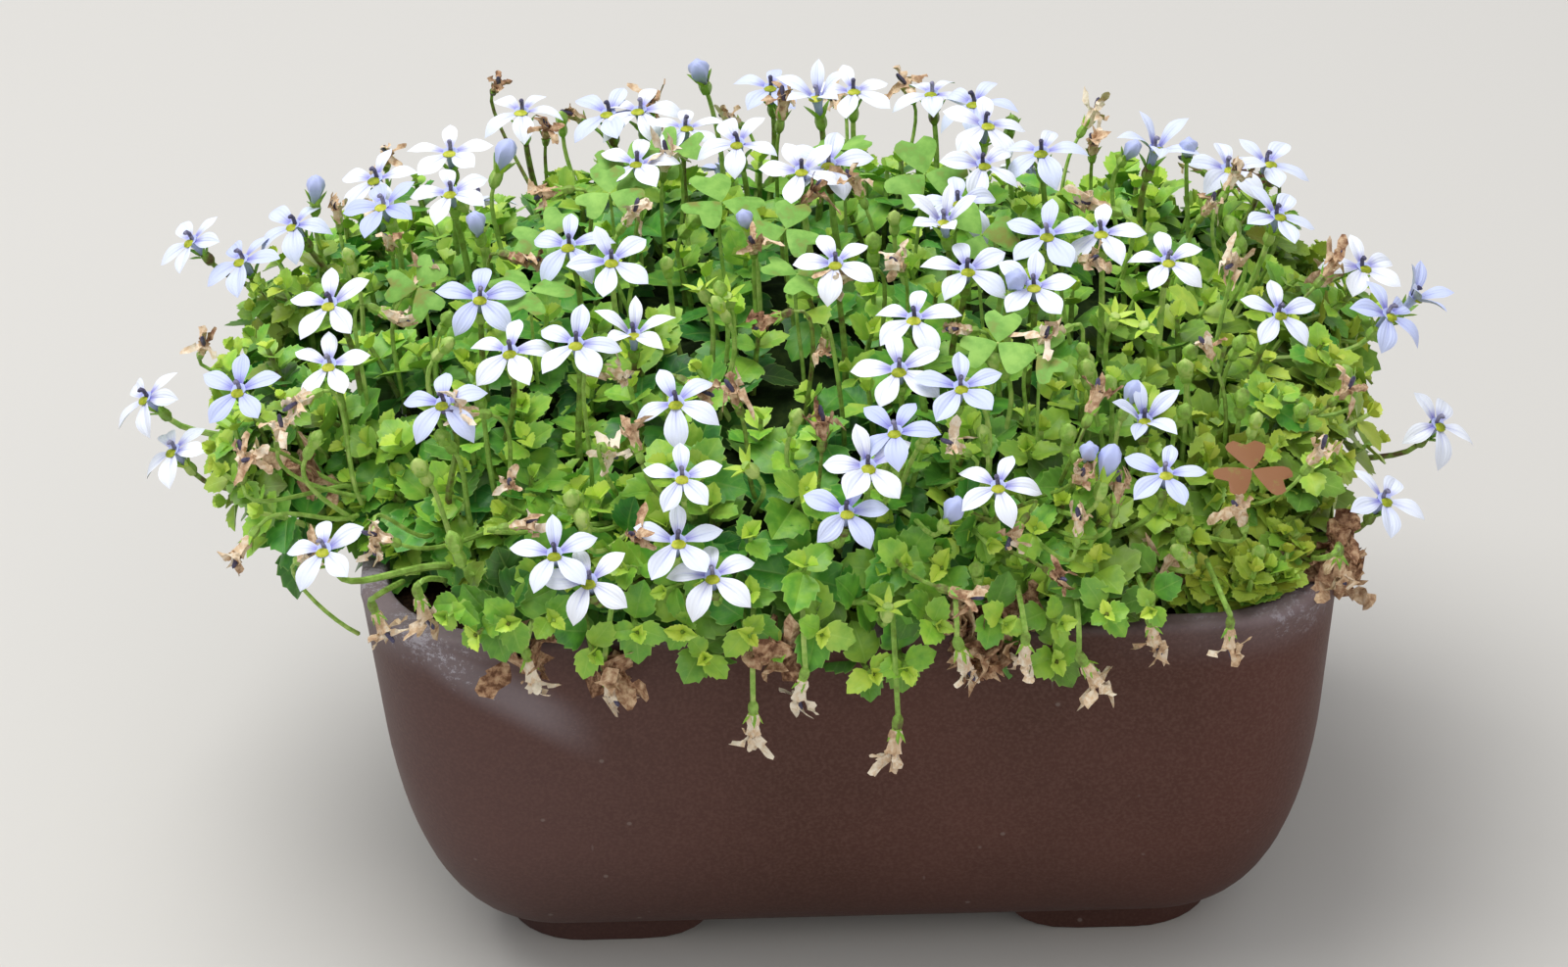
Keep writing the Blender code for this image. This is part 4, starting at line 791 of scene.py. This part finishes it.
def addBlooms(heap, head, axis, size, opening, blue, draw):
    # Five petals round each axis, raised together as a bloom closes. The first stands at the back,
    # smaller and more violet at its base, and the two in front are the broadest.
    count = len(head)
    towards = np.array([0, 0.25, 1.0]) + 0 * axis
    dorsal = unit(towards - axis * (towards * axis).sum(-1, keepdims=True))
    droop = draw.uniform(0.06, 0.42, count)
    spin = np.where(draw.uniform(0, 1, count) < 0.8, draw.normal(0, 0.20, count), draw.uniform(-0.62, 0.62, count))
    for number, (wide, long, raised, violet) in enumerate(bloom["petals"]):
        angle = spin + number * 2 * math.pi / 5 + draw.normal(0, 0.07, count)
        ahead = turned(dorsal, axis, angle)
        lift = (1 - opening) * bloom["closedRise"] + raised + draw.normal(0.0, 0.11, count)
        forward = ahead * np.cos(lift)[:, None] + axis * np.sin(lift)[:, None]
        up = axis * np.cos(lift)[:, None] - ahead * np.sin(lift)[:, None]
        up = up + np.cross(forward, up) * draw.normal(0, 0.14, count)[:, None]
        place = head + ahead * bloom["mouth"] * size[:, None] - axis * 0.35
        length = bloom["length"] * size * long * draw.uniform(0.94, 1.05, count)
        tint = np.stack([blue + draw.normal(0, 0.05, count), violet + 0 * blue, 0 * blue], -1)
        addBlades(heap, petal, place, framesOf(forward, up), length, wide * draw.uniform(0.92, 1.08, count) * (0.6 + 0.4 * opening),
                  draw.uniform(0.05, 0.32, count), draw.uniform(0.02, 0.14, count), droop * draw.uniform(0.7, 1.3, count),
                  petalOf, tint, draw)
    side = np.cross(dorsal, axis)
    frames = np.stack([side, dorsal, axis], -2)
    shade = np.stack([0.75 + 0 * blue, 0.4 + 0 * blue, 0.35 + 0 * blue], -1)
    addTurned(heap, bloom["tube"], head, frames, size, 12, petalOf, shade, 0.06)
    patch = frames * np.array([1.35, 1.05, 1.0])[None, :, None]
    addTurned(heap, bloom["palate"], head - dorsal * 0.80 * size[:, None], patch, size, 12, throatOf,
              np.stack([draw.uniform(0.3, 0.8, count)] * 3, -1))
    steps = np.array([0.0, 0.3, 0.55, 0.8, 1.0])
    path = head[:, None] + (axis[:, None] * np.array(bloom["columnRise"])[None, :, None] + dorsal[:, None] * np.array(
        bloom["columnLean"])[None, :, None] + side[:, None] * draw.normal(0, 0.25, count)[:, None, None] * steps[None, :, None]) * size[:, None, None]
    addStems(heap, path, np.array([bloom["columnRadius"]]), 7, antherOf, np.stack([draw.uniform(0.3, 1.0, count)] * 3, -1))


def addCalyxes(heap, top, axis, size, opened, tone, draw):
    # A ribbed ovary with five sepals round its top
    count = len(top)
    side = unit(np.cross(axis, np.array([0.3, 1.0, 0.1])))
    frames = np.stack([side, np.cross(axis, side), axis], -2)
    addTurned(heap, bloom["ovary"], top, frames, size, 10, stemOf, np.stack([tone] * 3, -1), 0.08)
    for number in range(5):
        angle = number * 2 * math.pi / 5 + draw.normal(0, 0.12, count)
        ahead = turned(side, axis, angle)
        tilt = opened + draw.normal(0, 0.12, count)
        forward = axis * np.cos(tilt)[:, None] + ahead * np.sin(tilt)[:, None]
        up = axis * np.sin(tilt)[:, None] - ahead * np.cos(tilt)[:, None]
        addBlades(heap, sepal, top + (ahead * 0.75 - axis * 0.5) * size[:, None], framesOf(forward, up), 3.3 * size,
                  1 + 0 * size, 0.3 + 0 * size, 0 * size, 0.1 + 0 * size, leafOf,
                  np.stack([0.2 + 0 * tone, 0.35 + 0.5 * tone, 0.15 + 0 * tone], -1), draw)


def addStalks(heap, top, axis, radius, tone, draw):
    # A stalk from inside the mat to its head: a cubic Bezier that sags a little and meets the head
    # squarely
    reach = np.abs((top[:, :2] - mat["centre"]) / (mat["halfSize"][:2] - 14)).max(1)
    shrink = np.minimum(1, 0.84 / np.maximum(reach, 1e-6))[:, None]
    footXY = mat["centre"] + (top[:, :2] - mat["centre"]) * shrink + draw.normal(0, 1.6, (len(top), 2))
    footZ = np.minimum(domeHeight(footXY[:, 0], footXY[:, 1], 8.0, mat) - 9.0, top[:, 2] - 4)
    foot = np.concatenate([footXY, footZ[:, None]], -1)
    span = np.linalg.norm(top - foot, axis=1)[:, None]
    out = foot * 0.62 + top * 0.38 + draw.normal(0, 0.05, top.shape) * span - np.array([0, 0, 0.06]) * span
    knee = top - axis * np.minimum(span * 0.36, 7.0)
    t = np.linspace(0, 1, 10)[None, :, None]
    path = foot[:, None] * (1 - t) ** 3 + out[:, None] * 3 * t * (1 - t) ** 2 + knee[:, None] * 3 * t ** 2 * (1 - t) + top[:, None] * t ** 3
    addStems(heap, path, radius[:, None] * np.linspace(1.15, 0.85, 10)[None], 6, stemOf, np.stack([tone] * 3, -1))


draw = np.random.default_rng(bloom["seed"])
for number, (head, axis, size, opening) in enumerate(planBlooms()):
    heap = newHeap()
    addBlooms(heap, head, axis, size, opening, draw.uniform(0, 1, len(head)) ** 2 * 0.8, draw)
    makePiece(f"starBloom{number + 1:02d}", heap, skins, [f"bloom_{number + 1:02d}"])
    top = head - axis * 4.1 * size[:, None]
    clump = clumpOf(top, mat)
    for one in range(len(head)):
        mine = slice(one, one + 1)
        addCalyxes(heaps[clump[one]], top[mine], axis[mine], size[mine], 0.5, draw.uniform(0.1, 0.9, 1), draw)
        addStalks(heaps[clump[one]], top[mine] - axis[mine] * 3.4, axis[mine], np.full(1, 0.65), draw.uniform(0.15, 0.9, 1), draw)
print("blooms made")


# ---- withered flowers, buds and sorrel leaves

withered = (
    (-67, 67, 39), (-56, 40, 43), (-88, 53, 31), (-95, 20, 37), (-84, 3, 41), (-79, -13, 42), (-85, -18, 40),
    (-121, 2, 20), (-97, -36, 33), (-107, -41, 24), (-103, -41, 27), (-110, -42, 21), (-66, -50, 37), (-61, -64, 30),
    (-60, -69, 25), (-82, -65, 20), (-85, -63, 20), (-99, -58, 12), (-109, -49, 11), (-37, -61, 35), (-43, -60, 35),
    (-43, -44, 42), (-19, -53, 39), (-40, 1, 46), (-52, 14, 46), (-61, -8, 45), (-33, 21, 46), (-36, 55, 40),
    (-11, 43, 44), (-16, -12, 47), (-7, 5, 47), (4, 7, 47), (-3, -38, 44), (-11, -32, 45), (3, -19, 46), (11, -18, 46),
    (21, -62, 34), (23, -37, 44), (40, -35, 42), (14, 64, 37), (48, 28, 43), (44, -13, 44), (50, 5, 44), (73, -3, 38),
    (68, 11, 39), (73, 23, 37), (90, 2, 30), (95, 11, 26), (67, -37, 36), (90, -33, 25), (44, -54, 36), (48, -67, 25),
    (41, -71, 21), (41, -65, 29), (31, -71, 24), (-4, -60, 36), (35, -41, 42), (71, -62, 17), (84, -49, 21),
    (81, 37, 31), (-37, -73, 24), (-28, -48, 41), (36, -75, 16), (18, -77, 14), (-90, 50, 22), (-50, 66, 32),
    (0, 68, 34), (48, 62, 30), (70, 54, 24), (-20, 74, 26),
)
hanging = (
    (-83, -70, 3), (-76, -69, 6), (-57, -73, -6), (-43, -73, -10), (-18, -76, -17), (-10, -75, -10), (7, -77, -21),
    (21, -75, -4), (31, -76, -3), (45, -75, -8), (55, -72, -2), (68, -72, -4), (89, -60, 4),
)
greenBuds = (
    (-22, -27, 45), (9, -63, 33), (-70, -68, 21), (-73, -30, 40), (25, -58, 35), (27, -9, 45), (23, -48, 39),
    (42, -60, 31), (62, -38, 36), (44, -43, 39), (74, -46, 29), (60, -67, 15), (-47, -69, 26), (-76, -56, 30),
    (-49, -66, 29), (93, -23, 24), (74, 9, 37), (-32, -13, 46), (31, -24, 44), (10, 1, 46), (-54, 62, 35),
    (33, 47, 40), (-92, 6, 38), (0, 30, 45), (28, -41, 40), (44, -36, 39), (48, -43, 36), (72, -27, 34),
    (63, -33, 36), (72, -40, 30), (61, -45, 31), (83, -36, 25), (23, -71, 15), (60, -61, 15), (61, -59, 20),
    (74, -56, 7), (-72, -49, 32), (-97, -41, 27), (-22, -19, 43), (-9, -52, 36), (-48, -64, 27), (-66, -42, 37),
    (14, -56, 34), (40, -54, 32), (-73, -19, 39), (6, -5, 44), (-38, -10, 43), (-28, 6, 44),
)
palebuds = (
    (-26, 56, 47), (-64, 20, 49), (54, 22, 47), (18, -70, 26), (46, -66, 31), (43, -62, 33), (-17, -8, 51),
    (66, 28, 44), (-67, -2, 48), (31, -24, 46), (51, -46, 34), (-100, 29, 38),
)
seedStars = (
    (-21, -20, 44), (8, -61, 33), (55, -26, 39), (50, -24, 40), (-18, -61, 33), (7, -76, 12), (-26, -17, 44), (-72, 20, 43),
)
sorrel = (
    (-43, 10, 49), (-22, 4, 50), (-31, 25, 49), (16, 14, 49), (-8, -20, 48), (28, -41, 45), (-54, -4, 48),
    (-78, -14, 44), (73, -56, 26), (26, -9, 49), (-40, 20, 49), (35, -44, 44), (-10, -5, 49), (-57, -20, 46), (0, 26, 48),
)
leaflet = {
    "along": (0.04, 0.15, 0.32, 0.50, 0.66, 0.80, 0.91, 0.975), "half": (0.04, 0.15, 0.29, 0.41, 0.49, 0.51, 0.43, 0.27),
    "across": (-1, -0.5, 0, 0.5, 1), "under": (0.0,), "tip": 0.80, "lean": 0.0, "bulge": 0.02, "ripple": 0.03,
    "thick": 0.03, "bend": 2,
}
faded = {"tube": ((0, -0.3), (0.9, 0.0), (1.15, 1.0), (0.9, 2.2), (1.1, 3.3), (1.3, 3.9), (0.7, 3.7), (0, 3.4))}


def addWithered(heap, top, axis, size, tone, limp, draw):
    # A shrivelled tube on the calyx, five curled and crumpled lobes at its end and the dark dried
    # column between them. limp is how far the lobes hang on along the tube.
    count = len(top)
    side = unit(np.cross(axis, np.array([0.4, 1.0, 0.2])))
    frames = np.stack([side, np.cross(axis, side), axis], -2)
    addTurned(heap, faded["tube"], top, frames, size, 10, witheredOf, np.stack([tone] * 3, -1), 0.16)
    mouth = top + axis * (3.6 * size)[:, None]
    for number in range(5):
        angle = number * 2 * math.pi / 5 + draw.normal(0, 0.35, count)
        ahead = turned(side, axis, angle)
        tilt = draw.uniform(0.1, 1.9, count) * (1 - limp) + draw.uniform(0.0, 0.7, count) * limp
        forward = axis * np.cos(tilt)[:, None] + ahead * np.sin(tilt)[:, None] + draw.normal(0, 0.15, (count, 3))
        up = axis * np.sin(tilt)[:, None] - ahead * np.cos(tilt)[:, None] + draw.normal(0, 0.35, (count, 3))
        addBlades(heap, strip, mouth + ahead * 0.7 * size[:, None], framesOf(forward, up), draw.uniform(2.4, 4.0, count) * size,
                  draw.uniform(0.7, 1.2, count), draw.uniform(-1.3, 1.3, count), draw.normal(0, 0.3, count),
                  draw.choice([-1, 1], count) * draw.uniform(0.4, 1.3, count), witheredOf,
                  np.stack([tone + draw.normal(0.06, 0.14, count)] * 3, -1), draw)
    steps = np.linspace(0, 1, 4)[None, :, None]
    path = mouth[:, None] + (axis[:, None] * 2.6 + side[:, None] * np.sin(steps * 2) * 0.9) * steps * size[:, None, None]
    addStems(heap, path, np.array([[0.35, 0.45, 0.5, 0.4]]), 5, antherOf, np.stack([tone * 0 + 0.45] * 3, -1))


def eachClump(top):  # pairs of a clump's heap and the places that belong to it
    clump = clumpOf(top, mat)
    return [(heaps[number], clump == number) for number in range(8) if (clump == number).any()]


draw = np.random.default_rng(23)
top = np.array(withered, float) + (0, 0, rimTop)
upward = np.where(top[:, 1] > 15, draw.uniform(0.5, 1.3, len(top)), draw.uniform(-0.4, 1.1, len(top)))
axis = unit(np.stack([draw.normal(0, 0.5, len(top)), draw.normal(-0.2, 0.4, len(top)), upward], -1))
top[:, 2] += 1.5
size = draw.uniform(0.78, 1.05, len(top))
tone = draw.uniform(0.25, 0.85, len(top))
for heap, mine in eachClump(top):
    addWithered(heap, top[mine], axis[mine], size[mine], tone[mine], 0.2, draw)
    addCalyxes(heap, top[mine], axis[mine], size[mine] * 0.8, 0.35, tone[mine] * 0.8, draw)
    addStalks(heap, top[mine] - axis[mine] * 2.6, axis[mine], np.full(mine.sum(), 0.42), tone[mine] * 0.9, draw)

top = np.array(hanging, float) + (0, 0, rimTop)
axis = unit(np.stack([draw.normal(0, 0.25, len(top)), draw.uniform(-0.3, 0.1, len(top)), -1 + 0 * top[:, 0]], -1))
size = draw.uniform(0.9, 1.15, len(top))
tone = draw.uniform(0.45, 0.95, len(top))
for heap, mine in eachClump(top * (1, 0.7, 1)):
    ends = top[mine] - axis[mine] * 6
    addWithered(heap, ends, axis[mine], size[mine], tone[mine], 0.75, draw)
    addCalyxes(heap, ends, axis[mine], size[mine] * 0.8, 0.3, tone[mine] * 0.6, draw)
    foot = ends * (0.95, 0, 0) + np.array([0, -58.0, rimTop + 8.0])
    bow = np.stack([ends[:, 0] * 0.98, -74 + 0 * ends[:, 0], np.maximum(ends[:, 2] + 8, rimTop + 9)], -1)
    neck = ends - axis[mine] * 2.6
    t = np.linspace(0, 1, 10)[None, :, None]
    path = foot[:, None] * (1 - t) ** 2 + bow[:, None] * 2 * t * (1 - t) + neck[:, None] * t ** 2
    addStems(heap, path, np.full((1, 10), 0.55), 6, stemOf, np.stack([tone[mine] * 0.9] * 3, -1))

for places, form in ((greenBuds, "green"), (palebuds, "pale"), (seedStars, "star")):
    top = np.array(places, float) + (0, 0, rimTop)
    axis = unit(np.stack([draw.normal(0, 0.35, len(top)), draw.normal(-0.3, 0.3, len(top)), 1 + 0 * top[:, 0]], -1))
    size = draw.uniform(0.85, 1.15, len(top))
    tone = draw.uniform(0.5, 0.95, len(top))
    for heap, mine in eachClump(top):
        count = mine.sum()
        side = unit(np.cross(axis[mine], np.array([0.3, 1.0, 0.1])))
        frames = np.stack([side, np.cross(axis[mine], side), axis[mine]], -2)
        if form == "green":
            addTurned(heap, ((0, -0.5), (0.9, -0.3), (1.5, 0.9), (1.55, 2.0), (1.1, 3.2), (0.4, 4.0), (0, 4.3)), top[mine],
                      frames, size[mine] * 0.92, 15, stemOf, np.stack([tone[mine]] * 3, -1), 0.10)
            addCalyxes(heap, top[mine], axis[mine], size[mine], 0.25, tone[mine], draw)
        elif form == "pale":
            addTurned(heap, ((0, -1), (0.75, -0.8), (0.9, 0.8), (1.4, 2.2), (1.75, 3.4), (1.55, 4.6), (0.8, 5.6), (0, 6.0)),
                      top[mine], frames, size[mine], 20, petalOf, np.stack([0.75 + 0 * tone[mine], 0 * tone[mine], 0.25 + 0 * tone[mine]], -1), 0.14)
            addCalyxes(heap, top[mine], axis[mine], size[mine], 0.45, tone[mine], draw)
        else:
            addCalyxes(heap, top[mine], axis[mine], size[mine] * 1.1, 0.95, tone[mine] * 0 + 0.95, draw)
        addStalks(heap, top[mine] - axis[mine] * 3.0, axis[mine], np.full(count, 0.5), tone[mine], draw)

top = np.array(sorrel, float) + (0, 0, rimTop)
axis = unit(np.stack([draw.normal(0, 0.2, len(top)), draw.normal(-0.35, 0.2, len(top)), 1 + 0 * top[:, 0]], -1))
size = draw.uniform(0.8, 1.1, len(top))
for heap, mine in eachClump(top):
    count = mine.sum()
    side = turned(unit(np.cross(axis[mine], np.array([1.0, 0.1, 0]))), axis[mine], draw.uniform(0, 6.28, count))
    for number in range(3):
        ahead = turned(side, axis[mine], np.full(count, number * 2 * math.pi / 3))
        frames = framesOf(ahead + axis[mine] * 0.1, axis[mine])
        tint = np.stack([np.where(top[mine, 0] > 70, 0.0, 0.6) + draw.normal(0, 0.1, count)] * 3, -1)
        addBlades(heap, leaflet, top[mine], frames, 7.6 * size[mine], 1 + 0 * size[mine], -0.12 + 0 * size[mine],
                  0.05 + 0 * size[mine], 0.12 + 0 * size[mine], sorrelOf, tint, draw)
    addStalks(heap, top[mine], axis[mine], np.full(count, 0.35), np.full(count, 0.7), draw)

litter = (  # small heaps of dead leaves: x, y, height over the rim, strips and spread
    (20, -69, 1, 20, 3.2), (24, -71, -4, 12, 2.6), (88, -50, 3, 18, 3.4), (91, -47, -3, 12, 3.0), (-59, -70, 0, 9, 2.6),
    (-42, -72, -6, 8, 2.2), (31, -67, 4, 10, 3.0), (56, -58, 6, 8, 3.0), (-100, -30, 14, 8, 3.0), (-12, -72, 0, 7, 2.2),
)
for x, y, height, strips, spread in litter:
    middle = np.array([x, y, rimTop + height]) + draw.normal(0, spread / 2, (strips, 3))
    heap = heaps[clumpOf(np.array([[x, y * 0.7, 0]]), mat)[0]]
    addBlades(heap, strip, middle, framesOf(draw.normal(0, 1, (strips, 3)), draw.normal(0, 1, (strips, 3))),
              draw.uniform(4, 7.5, strips), draw.uniform(1.0, 2.2, strips), draw.uniform(-1.2, 1.2, strips),
              draw.normal(0, 0.3, strips), draw.normal(0, 0.7, strips), witheredOf,
              np.stack([draw.uniform(0.1, 0.55, strips)] * 3, -1), draw)

for number, heap in enumerate(heaps):
    piece = makePiece(f"leafyMat{number + 1}", heap, skins, [f"leafy_stems_{number + 1}"])
    print(piece.name, "has", len(piece.data.polygons), "faces")


# ---- floor, light and camera

view = {
    "elevation": 32.0, "azimuth": 0.3, "roll": 1.65, "distance": 1200.0, "lens": 145.3,
    "aim": (-12.1, -8.3), "floorHex": "#CFCCC6",
}
floorMesh = bpy.data.meshes.new("floor")
floorMesh.from_pydata([(-4, -4, 0), (4, -4, 0), (4, 4, 0), (-4, 4, 0)], [], [(0, 1, 2, 3)])
floor = bpy.data.objects.new("floor", floorMesh)
bpy.context.scene.collection.objects.link(floor)
floorSkin, _, floorShader = newMaterial("paleFloor", 0.7)
floorShader.inputs["Base Color"].default_value = hexColour(view["floorHex"])
floorMesh.materials.append(floorSkin)

world = bpy.data.worlds.new("softStudio")
bpy.context.scene.world = world
world.use_nodes = True
world.node_tree.nodes["Background"].inputs[0].default_value = hexColour("#F3F6FC")
world.node_tree.nodes["Background"].inputs[1].default_value = 0.58
for name, place, width, power, colour in (
    ("skyPanel", (-0.35, 0.10, 1.3), 1.0, 15, "#FFFFFF"),
    ("frontPanel", (0.5, -1.3, 0.9), 1.2, 4, "#FFF8EE"),
):
    panel = bpy.data.lights.new(name, "AREA")
    panel.size = width
    panel.energy = power
    panel.color = hexColour(colour)[:3]
    lamp = bpy.data.objects.new(name, panel)
    lamp.location = place
    lamp.rotation_euler = (Vector((0, 0, 0.1)) - Vector(place)).to_track_quat("-Z", "Y").to_euler()
    bpy.context.scene.collection.objects.link(lamp)

e, a, r = (math.radians(view[key]) for key in ("elevation", "azimuth", "roll"))
back = np.array([math.sin(a) * math.cos(e), -math.cos(a) * math.cos(e), math.sin(e)])
level = np.array([math.cos(a), math.sin(a), 0.0])
upright = np.cross(back, level)
rimCentre = np.array([0, 0, rimTop])
eye = rimCentre + back * view["distance"]
aimAt = rimCentre + level * view["aim"][0] + upright * view["aim"][1]
away = unit(eye - aimAt)
level = unit(level - away * (level @ away))
upright = np.cross(away, level)
right = level * math.cos(r) - upright * math.sin(r)
top = upright * math.cos(r) + level * math.sin(r)
lens = bpy.data.cameras.new("camera")
lens.lens = view["lens"]
lens.sensor_width = 36.0
lens.clip_start, lens.clip_end = 0.05, 20.0
camera = bpy.data.objects.new("camera", lens)
eyeMetres = (eye + potCentre) / 1000
camera.matrix_world = Matrix([
    [right[0], top[0], away[0], eyeMetres[0]],
    [right[1], top[1], away[1], eyeMetres[1]],
    [right[2], top[2], away[2], eyeMetres[2]],
    [0, 0, 0, 1],
])
bpy.context.scene.collection.objects.link(camera)
bpy.context.scene.camera = camera
bpy.context.scene.view_settings.view_transform = "Standard"
